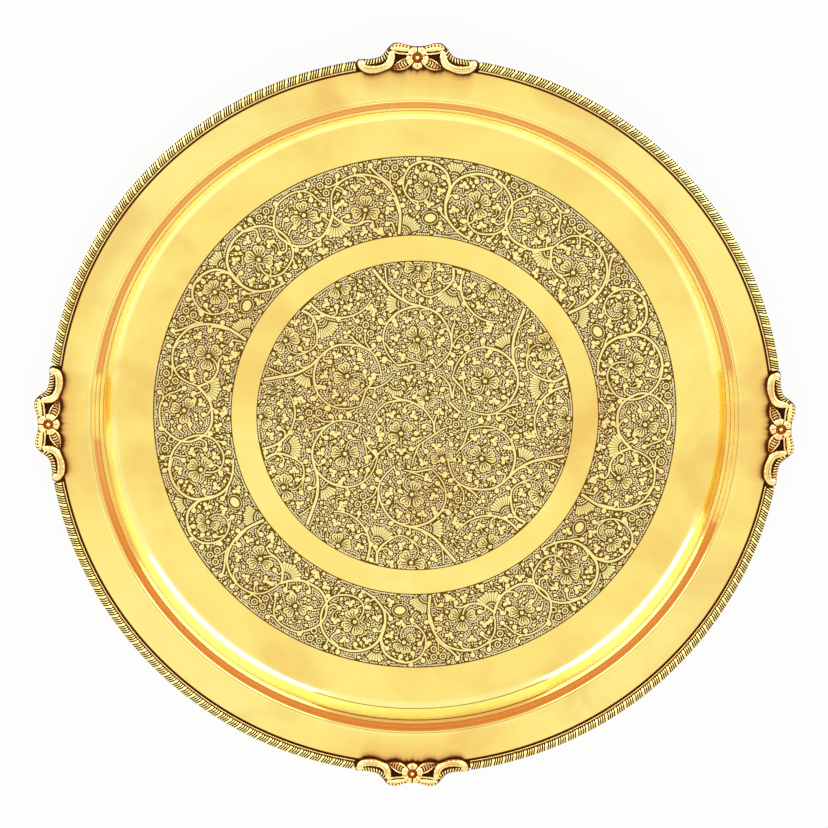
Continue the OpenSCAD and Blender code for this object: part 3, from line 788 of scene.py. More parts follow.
class THALI_OT_dish(bpy.types.Operator):
    """Turns the pressed dish from its section."""
    bl_idname = "thali.dish"
    bl_label = "Dish"

    def execute(self, context):
        r, z, lean = levels()
        upright = math.pi / 2
        # A point of the section is (radius, height, patina), and may have its warm mark fourth.
        section = [(0, z["ground"], 1)] + self.field_edge(r["disc"], 1, z)
        section += [(x, z["sheet"], 0) for x in np.linspace(r["disc"] + 0.5, r["ring_in"] - 0.5, 5)]
        section += self.field_edge(r["ring_in"], -1, z)[::-1] + self.field_edge(r["ring_out"], 1, z)
        section += [(x, z["sheet"], 0) for x in np.linspace(r["ring_out"] + 0.5, r["base"] - 0.5, 4)]
        cove = arc(r["base"], z["sheet"] + r["cove"], r["cove"], -upright, -lean, 22)
        # The cove is painted pale, a painted sheen that grows up towards the wall, and its upper part takes
        # the satin wall's mark.
        section += [(x, y, 0, -min(1.5, k / 3) if k < 14 else -2) for k, (x, y) in enumerate(cove)]
        foot, top = (r["wall"], z["wall_top"]), (r["step_out"], z["step_top"])
        section.append((foot[0] - 0.25 * math.tan(lean), foot[1] - 0.25, 0.2, -2))
        # The step is painted a warm orange, the orange reflection of the brass, and keeps some patina in the
        # grooves between the ribs.
        for i in range(3):
            ends = [tuple(np.array(foot) + (np.array(top) - np.array(foot)) * k / 3) for k in (i, i + 1)]
            ribs = rib(*ends, context.scene.thali_dish.step_swell / MM, 10)
            mark = 0.6 if i < 2 else 0.3
            section += [(x, y, mark if k == 0 else 0, 0 if i == 2 and k > 6 else (0.4, 1, 1)[i])
                        for k, (x, y) in enumerate(ribs)][:-1]
        section.append((*top, 0.3, 0))
        # A dark shadow is painted in the corner along the border, so the brim is dark there.
        # Just outside the step a pale highlight is painted on the brim.
        brim = [(top[0] + 0.3, top[1] + 0.03, 0, -1.4), (top[0] + 1.2, top[1] + 0.1, 0, -1.2),
                (top[0] + 1.9, top[1] + 0.15, 0), (r["seat"] - 0.5, z["seat"] - 0.06, 0),
                (r["seat"], z["seat"], 0), (r["strip_in"] - 0.85, z["seat"], 0),
                (r["strip_in"] - 0.45, z["seat"], 2), (r["strip_in"] + 0.1, z["seat"], 2),
                (r["edge"] - 0.15, z["seat"], 0), (r["edge"], z["seat"] - 0.15, 0),
                (r["edge"], z["seat"] - z["sheet"] + 0.15, 0),
                (r["edge"] - 0.15, z["seat"] - z["sheet"], 0)]
        section += brim
        under = [(r["seat"], z["seat"] - z["sheet"]), (top[0] + 0.1, top[1] - z["sheet"]),
                 (foot[0] + 0.9, foot[1] - 0.75)]
        section += [(x, y, 0) for x, y in under]
        outer = arc(r["base"], z["sheet"] + r["cove"], r["cove"] + z["sheet"], -lean, -upright, 16)
        section += [(x, y, 0) for x, y in outer] + [(0, 0, 0)]
        source = new_object("dish_section", [(x, 0, y) for x, y, *_ in section], [],
                            [marks[0] for _, _, *marks in section])
        warm = [(*point, 0)[3] for point in section]
        source.data.attributes.new("warm", "FLOAT", "POINT").data.foreach_set("value", warm)
        dish = grown("pressed_dish", source, turning_tree(), {
            "Segments": context.scene.thali_dish.segments + 1, "Points": len(section),
            "Material": finish_material("spun_polished_brass")})
        drop(source)
        tidy(dish, 28)
        place_piece(dish, "polished_brass", "dish")
        return {"FINISHED"}

    @staticmethod
    def field_edge(radius, side, z):
        """The dark edge of an engraved field, from its ground to the plain brass on one side."""
        slope, chamfer, dark_line, bright_from = 0.12, 0.03, 0.25, 0.32
        return [(radius - side * slope, z["ground"], 1), (radius, z["sheet"] - chamfer, 1),
                (radius + side * dark_line, z["sheet"], 1), (radius + side * bright_from, z["sheet"], 0)]


# The engraving

class RaisedWork:
    """Collects engraved motifs as closed low solids that stand on the sunk ground."""

    def __init__(self, ground, top):
        # The motifs' feet go a little into the ground, so no gap shows under them.
        self.ground, self.top = ground - 0.03, top
        self.verts, self.faces, self.patina = [], [], []
        self.lift = 0.0

    def height(self, drop_z):
        """The next motif's top. Crossing motifs never share a level."""
        self.lift = (self.lift + 0.0007) % 0.0112
        return self.top - drop_z - self.lift

    def add(self, points, z, dark):
        """Adds points at one height, and returns their numbers."""
        first = len(self.verts)
        self.verts += [(x, y, z) for x, y in points]
        self.patina += [dark] * len(points)
        return list(range(first, len(self.verts)))

    def strip(self, left, right, drop_z):
        """A band between two edges."""
        rows = []
        top = self.height(drop_z)
        for a, b in zip(left, right):
            span = b - a
            inset = min(0.09 / max(np.hypot(*span), 1e-6), 0.35)
            points = [(a, 1), (a + span * inset, 0), (b - span * inset, 0), (b, 1)]
            rows.append([self.add([p], self.ground if dark else top, dark)[0]
                         for p, dark in points])
        for one, two in zip(rows, rows[1:]):
            for k in range(4):
                j = (k + 1) % 4
                self.faces.append((one[k], one[j], two[j], two[k]))
        self.faces.append(tuple(rows[0][::-1]))
        self.faces.append(tuple(rows[-1]))

    def plate(self, outline, drop_z, dark=0.0, bevel=0.09):
        """A flat leaf with the given outline."""
        o = np.array(outline, float)
        ahead, behind = np.roll(o, -1, 0) - o, o - np.roll(o, 1, 0)
        normal = [np.array((e[1], -e[0])) / max(np.hypot(*e), 1e-9) for e in ahead + behind]
        inner = o - np.array(normal) * bevel
        low = self.add(o, self.ground, 1)
        high = self.add(inner, self.height(drop_z), dark)
        n = len(o)
        for k in range(n):
            j = (k + 1) % n
            self.faces.append((low[k], low[j], high[j], high[k]))
        self.faces.append(tuple(high))
        self.faces.append(tuple(low[::-1]))

    def hoop(self, outer, inner, drop_z):
        """A closed band between two outlines with the same number of points."""
        n = len(outer)
        a, d = self.add(outer, self.ground, 1), self.add(inner, self.ground, 1)
        mid = (np.array(outer) + np.array(inner)) / 2
        top = self.height(drop_z)
        b = self.add(mid + (np.array(outer) - mid) * 0.6, top, 0)
        c = self.add(mid + (np.array(inner) - mid) * 0.6, top, 0)
        for k in range(n):
            j = (k + 1) % n
            for one, two in ((a, b), (b, c), (c, d), (d, a)):
                self.faces.append((one[k], one[j], two[j], two[k]))


def band_edges(points, from_w, to_w, ball=0.0, steps=6):
    """The two edges of a tapering band, which may end in a round ball."""
    path = smooth_path(points, steps)
    if ball:
        heading = path[-1] - path[-2]
        heading = heading / max(np.hypot(*heading), 1e-6)
        bends = [path[-1] + heading * ball * k for k in (-0.7, -0.35, 0, 0.35, 0.7, 0.9, 1)]
        keep = [p for p in path if np.hypot(*(p - path[-1])) > ball * 0.9]
        if len(keep) < 2:
            keep = [path[-1] - heading * ball * 1.6, path[-1] - heading * ball * 1.1]
        neck = path[-1] - heading * ball * 0.95
        path = np.array(list(keep) + [neck] + bends)
    gaps = np.hypot(*(path[1:] - path[:-1]).T)
    run = np.concatenate([[0], np.cumsum(gaps)])
    left, right = [], []
    for i, p in enumerate(path):
        along = path[min(i + 1, len(path) - 1)] - path[max(i - 1, 0)]
        side = np.array((-along[1], along[0])) / max(np.hypot(*along), 1e-9)
        w = from_w + (to_w - from_w) * run[i] / max(run[-1], 1e-9)
        back = run[-1] - run[i]
        if ball and back < 2 * ball:
            w = max(w if back > ball else 0.02, math.sqrt(max(0, ball ** 2 - (back - ball) ** 2)))
        left.append(p + side * w)
        right.append(p - side * w)
    return left, right


def turned(points, x, y, angle, scale=1.0):
    """Points of a shape set at a place, turned by an angle in degrees."""
    c, s = math.cos(math.radians(angle)) * scale, math.sin(math.radians(angle)) * scale
    return [(x + u * c - v * s, y + u * s + v * c) for u, v in points]


def polar(radius, degrees):
    """The point at a radius and an angle."""
    a = math.radians(degrees)
    return radius * math.cos(a), radius * math.sin(a)


def ring_mm(column, row):
    """A pixel of the ring's picture as degrees clockwise and a radius in mm."""
    return round(60 * column / RING_WIDE, 1), round(RING_TOP - row / RING_SCALE, 1)


def disc_mm(column, row):
    """A pixel of the disc's picture as x and y in mm."""
    return round((column - DISC_MIDDLE) / DISC_SCALE, 1), round(DISC_TOP - row / DISC_SCALE, 1)


def centre_mm(column, row):
    """A pixel of the picture of the disc's centre as x and y in mm."""
    x, y = column - CENTRE_MIDDLE, CENTRE_MIDDLE - row
    return round(x / CENTRE_SCALE, 1), round(y / CENTRE_SCALE, 1)


def petal_outline():
    """A heart-shaped petal along +X, with three cuts from its foot."""
    side = [(1.6, 25), (2.2, 28), (3.0, 31), (3.9, 33), (4.7, 30), (5.3, 22), (5.5, 13), (5.3, 5)]
    points = [polar(q, -a) for q, a in side] + [polar(4.85, 0)] + [polar(q, a) for q, a in side[::-1]]
    for lean, reach in ((16, 4.1), (0, 4.4), (-16, 4.1)):
        c, s = math.cos(math.radians(lean)), math.sin(math.radians(lean))
        for u, v in ((1.6, 0.12), (reach - 0.6, 0.24), (reach, 0), (reach - 0.6, -0.24), (1.6, -0.12)):
            points.append((u * c - v * s, u * s + v * c))
    return points


def petal_cuts():
    """Two curved cuts inside a petal's edge, one for each half of the heart."""
    line = [(3.5, 23), (4.2, 24), (4.7, 18), (4.85, 11), (4.6, 4),
            (4.3, 4), (4.5, 11), (4.38, 16), (4.0, 20), (3.5, 21)]
    return [[polar(q, a * side) for q, a in line[::-side]] for side in (1, -1)]


def trefoil_outline(stem):
    """Three round lobes, with room for a stem."""
    points = []
    for k in range(36):
        a = 2 * math.pi * k / 36
        r = 0.6
        for lobe in (stem + 90, stem + 180, stem + 270):
            cx, cy = polar(1.6, lobe)
            near = cx * math.cos(a) + cy * math.sin(a)
            chord = near * near - (cx * cx + cy * cy - 1.12 ** 2)
            if chord >= 0 and near > 0:
                r = max(r, near + math.sqrt(chord))
        points.append((r * math.cos(a), r * math.sin(a)))
    return points


def round_outline(r, count, squash=1.0):
    """A circle, or an ellipse, round the origin."""
    steps = [2 * math.pi * k / count for k in range(count)]
    return [(r * math.cos(a), r * squash * math.sin(a)) for a in steps]


def draw_motifs(work, table, place):
    """Adds a table's motifs. place gives a motif's x and y in mm and its turn."""

    def spot(column, row):
        """Where a point of a path lies on the sheet, in mm."""
        x, y, _ = place(column, row)
        return x, y

    for from_w, to_w, path in table["vines"]:
        work.strip(*band_edges([spot(*p) for p in path], from_w * 1.15, to_w * 1.25), 0.03)
    for path in table["hooks"]:
        work.strip(*band_edges([spot(*p) for p in path], 0.34, 0.5, 1.12, 4), 0.02)
    for column, row, stem in table["trefoils"]:
        x, y, turn = place(column, row)
        work.plate(turned(trefoil_outline(stem), x, y, turn, 0.82), 0.01)
        work.plate(turned(round_outline(0.3, 8), x, y, 0), 0.004, 1, 0.02)
        stalk = turned([(0.3, 0), (1.6, 0), (2.6, 0.3)], x, y, stem + turn)
        work.strip(*band_edges(stalk, 0.3, 0.2), 0.025)
    for column, row, petals, scale in table["flowers"]:
        x, y, turn = place(column, row)
        for angle in petals:
            work.plate(turned(petal_outline(), x, y, angle + turn, scale * 1.1), 0.0, 0, 0.03)
            for cut in petal_cuts():
                work.plate(turned(cut, x, y, angle + turn, scale * 1.1), -0.005, 0.5, 0.02)
        work.plate(turned(round_outline(0.95, 14), x, y, 0), 0.0, 0, 0.12)
    for column, row, loops in table["loops"]:
        x, y, turn = place(column, row)
        steps = [math.pi * k / 9 for k in range(18)]
        outer = [(2.5 + 1.6 * math.cos(a), 1.55 * math.sin(a)) for a in steps]
        inner = [(2.5 + 0.8 * math.cos(a), 0.75 * math.sin(a)) for a in steps]
        for angle in loops:
            work.hoop(turned(outer, x, y, angle + turn), turned(inner, x, y, angle + turn), 0.015)
        work.plate(turned(round_outline(0.8, 12), x, y, 0), 0.005)
    for column, row, start, end, outer_r, inner_r in table["fans"]:
        x, y, turn = place(column, row)
        rays = 3 * max(2, round((outer_r + inner_r) * math.radians(end - start) / 5.5))
        width = (end - start) / rays
        for i in range(rays):
            a = start + width * (i + 0.5)
            gap_in, gap_out = width * 0.4, width * 0.46
            # The pleats lie in threes, each three under one scallop.
            tip = outer_r - (0 if i % 3 == 1 else 0.55)
            ray = [(inner_r + 0.9, -gap_in), (tip - 0.5, -gap_out), (tip, -gap_out * 0.6),
                   (tip, gap_out * 0.6), (tip - 0.5, gap_out), (inner_r + 0.9, gap_in)]
            shape = [polar(q, b + a) for q, b in ray]
            work.plate(turned(shape, x, y, turn), 0.005, 0, 0.05)
        hub = [polar(inner_r, b) for b in np.linspace(start - 4, end + 4, 9)]
        work.strip(*band_edges(turned(hub, x, y, turn), 0.3, 0.3, steps=2), 0.01)
    for column, row, half_l, half_w, angle in table["daisies"]:
        x, y, turn = place(column, row)
        rim = [((half_l + (0.25 if k % 2 else -0.1)) * math.cos(a),
                (half_w + (0.25 if k % 2 else -0.1)) * math.sin(a))
               for k, a in enumerate([math.pi * k / 16 for k in range(32)])]
        work.plate(turned(rim, x, y, angle + turn), 0.0)
        work.hoop(turned(round_outline(half_l + 1.15, 24, 0.82), x, y, angle + turn),
                  turned(round_outline(half_l + 0.65, 24, 0.8), x, y, angle + turn), 0.03)


def hold_between(piece, low, high):
    """Keeps a piece's points between two radii, so that motifs are cut by the field's edge."""
    co = np.empty(len(piece.data.vertices) * 3)
    piece.data.vertices.foreach_get("co", co)
    co = co.reshape(-1, 3)
    r = np.hypot(co[:, 0], co[:, 1])
    kept = np.clip(r, low * MM, high * MM) / np.maximum(r, 1e-9)
    co[:, :2] *= kept[:, None]
    piece.data.vertices.foreach_set("co", co.ravel())
    piece.data.update()


def edge_points(pieces):
    """The motifs' edges on the ground, as a tree of points in the plane."""
    rim = []
    for piece in pieces:
        for edge in piece.data.edges:
            a, b = (piece.data.vertices[i].co / MM for i in edge.vertices)
            if a.z < 1 and b.z < 1:
                steps = max(1, int((a - b).length / 0.35))
                rim += [a.lerp(b, k / steps) for k in range(steps)]
    tree = kdtree.KDTree(len(rim))
    for i, p in enumerate(rim):
        tree.insert((p.x, p.y, 0), i)
    tree.balance()
    return tree


def motif_surface(pieces):
    """All the motifs as one surface, to tell the ground from the leaves."""
    return bvhtree.BVHTree.FromPolygons(
        [v.co / MM for piece in pieces for v in piece.data.vertices],
        [[i + offset for i in face.vertices] for piece, offset in pieces.items()
         for face in piece.data.polygons])


def fill_commas(work, pieces, low, high, turn_from, turn_span):
    """Sets a comma in every wide gap. Its tail runs beside the nearest leaf, as a chaser draws it."""
    surface, tree = motif_surface(pieces), edge_points(pieces)
    gaps = []
    step, clear, apart = 0.5, 1.5, 2.9
    for r in np.arange(low + 1.6, high - 1.5, step):
        count = max(1, int(turn_span * r / step))
        for k in range(count):
            a = turn_from + turn_span * k / count
            x, y = r * math.cos(a), r * math.sin(a)
            near, _, distance = tree.find((x, y, 0))
            edge = min(r - low, high - r)
            if distance < clear or surface.ray_cast(Vector((x, y, 5)), Vector((0, 0, -1)))[0] is not None:
                continue
            gaps.append((-round(min(distance, edge + 0.3), 1), a, x, y, near.x, near.y))
    gaps.sort()
    taken = []
    for _, _, x, y, u, v in gaps:
        if any((x - p) ** 2 + (y - q) ** 2 < apart ** 2 for p, q in taken):
            continue
        away = np.array((x - u, y - v)) / math.hypot(x - u, y - v)
        along = np.array((-away[1], away[0])) * (1 if len(taken) % 2 else -1)
        middle = np.array((x, y))
        path = [middle - along * 1.9 - away * 0.25, middle - along * 0.8 + away * 0.2, middle + along * 0.75]
        if tree.find((*path[0], 0))[2] < 0.75:
            path[0] = path[1] - along * 0.5
        work.strip(*band_edges(path, 0.16, 0.34, 0.78, 4), 0.02)
        taken.append((x, y))


def sow_points(pieces, low, high, turn_from, turn_span, pitch, row, gap):
    """Places for seeds in rows that follow the motifs' edges, as a chaser punches them."""
    surface, tree = motif_surface(pieces), edge_points(pieces)
    spots = []
    step, margin, near_row, later = 0.16, 0.45, 0.12, 50
    for r in np.arange(low + margin, high - 0.4, step):
        count = max(1, int(turn_span * r / step))
        for k in range(count):
            a = turn_from + turn_span * k / count
            x, y = r * math.cos(a), r * math.sin(a)
            distance = tree.find((x, y, 0))[2]
            if distance < gap:
                continue
            if surface.ray_cast(Vector((x, y, 5)), Vector((0, 0, -1)))[0] is not None:
                continue
            edge = min(r - low, high - r) - margin + gap
            place = (min(distance, edge) - gap) / row
            lane = round(place)
            spots.append((lane if abs(place - lane) < near_row else lane + later, a, x, y))
    # First whole rows, one row's distance apart, then what is left between them.
    spots.sort()
    taken, cells = [], {}
    for _, _, x, y in spots:
        home = (int(x // row), int(y // row))
        near = [q for i in (-1, 0, 1) for j in (-1, 0, 1)
                for q in cells.get((home[0] + i, home[1] + j), [])]
        if all((x - u) ** 2 + (y - v) ** 2 >= pitch * pitch for u, v in near):
            cells.setdefault(home, []).append((x, y))
            taken.append((x, y))
    return taken


class THALI_OT_engraving(bpy.types.Operator):
    """Raises the engraved vines, flowers and seeds from the sunk ground."""
    bl_idname = "thali.engraving"
    bl_label = "Engraving"

    def execute(self, context):
        sizes = context.scene.thali_engraving
        r, z, _ = levels()
        turn = sizes.turn
        sixth = math.pi / 3

        def on_ring(column, row):
            """Place and turn in the ring, from a pixel of its picture."""
            clockwise, radius = ring_mm(column, row)
            a = 2 * sixth - math.radians(clockwise) + turn
            return radius * math.cos(a), radius * math.sin(a), math.degrees(a) - 90

        def on_sheet(x, y):
            """Place and turn in the disc, from x and y in mm."""
            c, s = math.cos(turn), math.sin(turn)
            return x * c - y * s, x * s + y * c, math.degrees(turn)

        def on_disc(column, row):
            """Place and turn in the disc, from a pixel of its picture."""
            return on_sheet(*disc_mm(column, row))

        def on_centre(column, row):
            """Place and turn in the disc, from a pixel of its centre's picture."""
            return on_sheet(*centre_mm(column, row))

        pieces, inset = {}, 0.15
        repeat = round_tree()
        engraved = finish_material("engraved_brass")
        for name, table, place, copies, low, high in (
                ("engraved_ring", RING_SECTOR, on_ring, 6, r["ring_in"], r["ring_out"]),
                ("engraved_disc", DISC_SECTOR, on_disc, 6, 0, r["disc"]),
                ("engraved_centre", DISC_CENTRE, on_centre, 1, 0, r["disc"])):
            work = RaisedWork(z["ground"], z["sheet"])
            draw_motifs(work, table, place)
            piece = self.repeated(name, work, repeat, engraved, copies, sixth)
            hold_between(piece, low + inset if low else 0, high - inset)
            tidy(piece, 30)
            place_piece(piece, "polished_brass")
            pieces[name] = piece
        self.fillers(pieces, repeat, engraved, r, z, sixth, turn)
        self.seeds(sizes, pieces, r, z, sixth, turn)
        return {"FINISHED"}

    @staticmethod
    def repeated(name, work, repeat, finish, copies, step):
        """The collected motifs as one piece, repeated round the middle."""
        source = new_object(name + "_sector", work.verts, work.faces, work.patina)
        piece = grown(name, source, repeat, {"Copies": copies, "Step": step, "Merge": 0.0,
                                             "Material": finish})
        drop(source)
        return piece

    @staticmethod
    def numbered(pieces, *names):
        """Pieces with the number at which the points of each begin when they are put together."""
        out, first = {}, 0
        for name in names:
            out[pieces[name]] = first
            first += len(pieces[name].data.vertices)
        return out

    def fillers(self, pieces, repeat, engraved, r, z, sixth, turn):
        """Commas in the gaps that the read motifs leave."""
        for name, near, low, high, start, span_a, copies in (
                ("ring_commas", ("engraved_ring",), r["ring_in"], r["ring_out"], sixth + turn, sixth, 6),
                ("disc_commas", ("engraved_disc", "engraved_centre"), 0, r["disc"], 0, 2 * math.pi, 1)):
            work = RaisedWork(z["ground"], z["sheet"])
            fill_commas(work, self.numbered(pieces, *near), low, high, start, span_a)
            piece = self.repeated(name, work, repeat, engraved, copies, sixth)
            tidy(piece, 30)
            place_piece(piece, "polished_brass")
            pieces[name] = piece

    def seeds(self, sizes, pieces, r, z, sixth, turn):
        """Punched seeds in rows round the motifs."""
        pitch, row, gap = sizes.seed_pitch / MM, sizes.seed_row / MM, sizes.seed_gap / MM
        half = sizes.seed_width / 2 / MM
        low, high = z["ground"] - 0.02, z["sheet"] - 0.05
        foot = [(half * math.cos(a), half * math.sin(a)) for a in [sixth * 1.2 * k for k in range(5)]]
        seed = new_object("seed", [(x, y, low) for x, y in foot]
                          + [(x * 0.84, y * 0.84, high) for x, y in foot],
                          [(k, (k + 1) % 5, 5 + (k + 1) % 5, 5 + k) for k in range(5)]
                          + [(5, 6, 7, 8, 9), (4, 3, 2, 1, 0)], [0.8] * 5 + [0.0] * 5)
        sow = sowing_tree()
        punched = finish_material("punched_brass")
        ring = sow_points(self.numbered(pieces, "engraved_ring", "ring_commas"), r["ring_in"], r["ring_out"],
                          sixth + turn, sixth, pitch, row, gap)
        motifs = self.numbered(pieces, "engraved_disc", "engraved_centre", "disc_commas")
        disc = sow_points(motifs, 0, r["disc"], 0, 2 * math.pi, pitch * 0.98, row * 0.94, gap * 0.92)
        for name, spots, copies in (("ring_seeds_back", ring, (0, 1)), ("ring_seeds_left", ring, (2, 3)),
                                    ("ring_seeds_right", ring, (4, 5)), ("disc_seeds", disc, (0,))):
            every = []
            for k in copies:
                c, s = math.cos(sixth * k), math.sin(sixth * k)
                every += [(x * c - y * s, x * s + y * c, 0) for x, y in spots]
            source = new_object(name + "_places", every, [])
            piece = grown(name, source, sow, {"Seed": seed, "Material": punched})
            drop(source)
            place_piece(piece, "polished_brass")
        drop(seed)


# The rope border

def rope_height(x, half_w, rope_h, foot):
    """Height of the plain rope above the brim, across its width."""
    arch = rope_h - foot
    r = (half_w ** 2 + arch ** 2) / (2 * arch)
    return foot + math.sqrt(max(r * r - x * x, 0)) - (r - arch)


class THALI_OT_rope_border(bpy.types.Operator):
    """Lays the four lengths of rope border."""
    bl_idname = "thali.rope_border"
    bl_label = "Rope border"

    def execute(self, context):
        rope = context.scene.thali_rope
        r, z, _ = levels()
        strip_w = rope.strip_w / MM
        ledge, foot = rope.ledge_w / MM, rope.rope_foot / MM
        in_r = r["border"] - strip_w
        mid_r = (in_r + ledge + r["border"]) / 2
        half_w = (strip_w - ledge) / 2
        ends = self.ends(context, r)
        span = math.pi / 2 - 2 * ends
        cell = span / rope.groups
        verts, patina, faces = self.cell(rope, r, z, in_r, mid_r, half_w, ledge, foot, cell)
        source = new_object("rope_cell", verts, faces, patina)
        repeat = bpy.data.node_groups.get("repeat_round") or round_tree()
        finish = finish_material("chased_cast_brass")
        for k, name in enumerate(STRIPS):
            start = k * math.pi / 2 + ends
            piece = grown(name + "_rope", source, repeat, {
                "Copies": rope.groups + 2, "Step": cell, "Start": start - cell / 2,
                "Merge": 2e-6, "Material": finish})
            self.trim(piece, start, start + span)
            tidy(piece, 50)
            place_piece(piece, "antiqued_brass", name)
        drop(source)
        self.milling(rope, repeat, finish, in_r, z, ends, span)
        return {"FINISHED"}

    @staticmethod
    def ends(context, r):
        """Angle from an ornament's middle to the end of a strip."""
        sizes = context.scene.thali_ornaments
        return (sizes.length / 2 + sizes.gap) / MM / r["border"]

    @staticmethod
    def cell(rope, r, z, in_r, mid_r, half_w, ledge, foot, step_angle):
        """One group of grooves and the plain lobe beside it, open at both sides."""
        groove, ridge = rope.groove_w / MM, rope.ridge_w / MM
        pitch = groove + ridge
        half_cell = step_angle * mid_r / 2
        # Across a groove: place, share of the full depth, and patina, which also covers its edges.
        edge_w = 0.07
        profile = [(-groove / 2 - edge_w, -0.04, 0), (-groove / 2, 0, 0.9), (-groove * 0.4, 0.75, 1),
                   (0, 1, 1), (groove * 0.4, 0.75, 1), (groove / 2, 0, 0.9),
                   (groove / 2 + edge_w, -0.04, 0)]
        middles = [(k - 1.5) * pitch for k in range(4)]
        lines = [(middle + x, cut, stroke) for middle in middles for x, cut, stroke in profile]
        edge = lines[-1][0]
        # The plain lobe stands a little higher, half of it at each side of the cell.
        lobe = [(edge + (half_cell - edge) * s, -0.1, 0) for s in (0.25, 0.6)] + [(half_cell, -0.12, 0)]
        lines = [(-x, cut, stroke) for x, cut, stroke in lobe[::-1]] + lines + lobe
        seat = z["seat"]
        step = seat + rope.ledge_h / MM
        # Across the strip: radius, height, share of the groove's depth, patina, share of its patina.
        # At the ledge's inner side the patina is 2, the painted shadow along the brim.
        rows = [(in_r, seat, 0, 2, 0), (in_r, step, 0, 2, 0), (in_r + 0.1, step + 0.05, 0, 0.2, 0),
                (in_r + ledge - 0.12, step + 0.05, 0, 0.1, 0), (in_r + ledge, step, 0, 1.2, 0),
                (in_r + ledge, seat + foot * 0.85, 0, 0.6, 0)]
        for x in np.linspace(-half_w + 0.05, half_w - 0.05, 11):
            depth = max(0.0, 1 - abs(x / half_w) ** 8)
            side = 0.4 if x < -half_w + 0.1 else 0
            rows.append((mid_r + x, seat + rope_height(x, half_w, rope.rope_h / MM, foot), depth, side, 1))
        rows += [(r["border"], seat + foot * 0.85, 0, 0.2, 1), (r["border"], seat, 0, 0.2, 1)]
        slope, bow, swell = math.tan(rope.slant), 0.12, 0.5
        verts, patina = [], []
        for offset, cut, stroke in lines:
            for radius, height, depth, dark, share in rows:
                x = radius - mid_r
                lean = x * slope + bow * math.sin(math.pi * x / half_w)
                a = (offset - lean) / mid_r
                down = cut * depth * (rope.groove_depth / MM if cut > 0 else swell)
                verts.append((radius * math.cos(a), radius * math.sin(a), height - max(down, -0.05)))
                patina.append(max(dark, stroke * share))
        n, faces = len(rows), []
        for i in range(len(lines) - 1):
            for j in range(n):
                k = (j + 1) % n
                faces.append((i * n + j, i * n + k, (i + 1) * n + k, (i + 1) * n + j))
        return verts, patina, faces

    @staticmethod
    def trim(piece, start, end):
        """Cuts the strip square at both ends and closes it."""
        work = bmesh.new()
        work.from_mesh(piece.data)
        for angle, side in ((start, -1), (end, 1)):
            normal = (-math.sin(angle) * side, math.cos(angle) * side, 0)
            cut = bmesh.ops.bisect_plane(work, geom=work.verts[:] + work.edges[:] + work.faces[:],
                                         dist=1e-8, plane_co=(0, 0, 0), plane_no=normal,
                                         clear_outer=True)
            edges = [g for g in cut["geom_cut"] if isinstance(g, bmesh.types.BMEdge)]
            bmesh.ops.holes_fill(work, edges=edges, sides=0)
        work.to_mesh(piece.data)
        work.free()

    @staticmethod
    def milling(rope, repeat, finish, in_r, z, ends, span):
        """A row of small beads milled along the ledge inside the rope."""
        verts, patina, faces = [], [], []
        middle, half_across, half_along = in_r + 0.34, 0.3, 0.31
        for share, height, dark in ((1, 0, 0.8), (0.75, 0.14, 0), (0, 0.2, 0)):
            for k in range(6 if share else 1):
                a = math.pi / 3 * k
                verts.append((middle + half_across * share * math.cos(a), half_along * share * math.sin(a),
                              z["seat"] + rope.ledge_h / MM + height))
                patina.append(dark)
        for k in range(6):
            j = (k + 1) % 6
            faces += [(k, j, 6 + j, 6 + k), (6 + k, 6 + j, 12)]
        faces.append((5, 4, 3, 2, 1, 0))
        source = new_object("bead", verts, faces, patina)
        step = rope.bead_pitch / MM / in_r
        count = int(span / step)
        for k, name in enumerate(STRIPS):
            start = k * math.pi / 2 + ends + (span - (count - 1) * step) / 2
            beads = grown(name + "_beads", source, repeat, {
                "Copies": count, "Step": step, "Start": start, "Merge": 0.0, "Material": finish})
            tidy(beads, 60)
            place_piece(beads, "antiqued_brass")
        drop(source)


# The cast ornaments

# One half of the ornament's outline, in shares of its half length and of its depth.
OUTER_EDGE = [(0, 0.87), (0.1, 0.88), (0.19, 0.93), (0.3, 1), (0.39, 0.98), (0.47, 0.84),
              (0.53, 0.69), (0.59, 0.58), (0.68, 0.53), (0.8, 0.52), (0.92, 0.55), (0.98, 0.54),
              (1, 0.42)]
INNER_EDGE = [(1, 0.42), (0.96, 0.22), (0.89, 0.06), (0.79, 0), (0.67, 0.01), (0.56, 0.07),
              (0.47, 0.12), (0.4, 0.05), (0.3, 0.01), (0.22, 0.05), (0.16, 0.12), (0.1, 0.08),
              (0.06, 0.11), (0, 0.04)]
# Radius of the cup in the flower, in mm.
CUP_R = 1.85
# Raised work on an ornament: kind, path in shares, half width and height in mm.
ORNAMENT_WORK = [
    ("scroll", [(0.41, 0.76), (0.425, 0.5), (0.475, 0.29), (0.58, 0.17), (0.7, 0.145),
                (0.82, 0.18), (0.91, 0.28), (0.94, 0.4)], 1.62, 1.3),
    ("rungs", [(0.455, 0.79), (0.51, 0.6), (0.6, 0.47), (0.71, 0.43), (0.82, 0.435), (0.9, 0.46)],
     1.12, 1.1),
    ("lip", [(0.14, 0.6), (0.24, 0.63), (0.33, 0.66), (0.41, 0.76)], 0.5, 1.0),
    ("leaf", [(0.12, 0.36), (0.21, 0.28), (0.32, 0.19), (0.44, 0.12)], 2.2, 1.15),
    ("lobe", [(0.11, 0.76), (0.21, 0.82), (0.32, 0.86), (0.44, 0.82)], 1.7, 1.35),
]


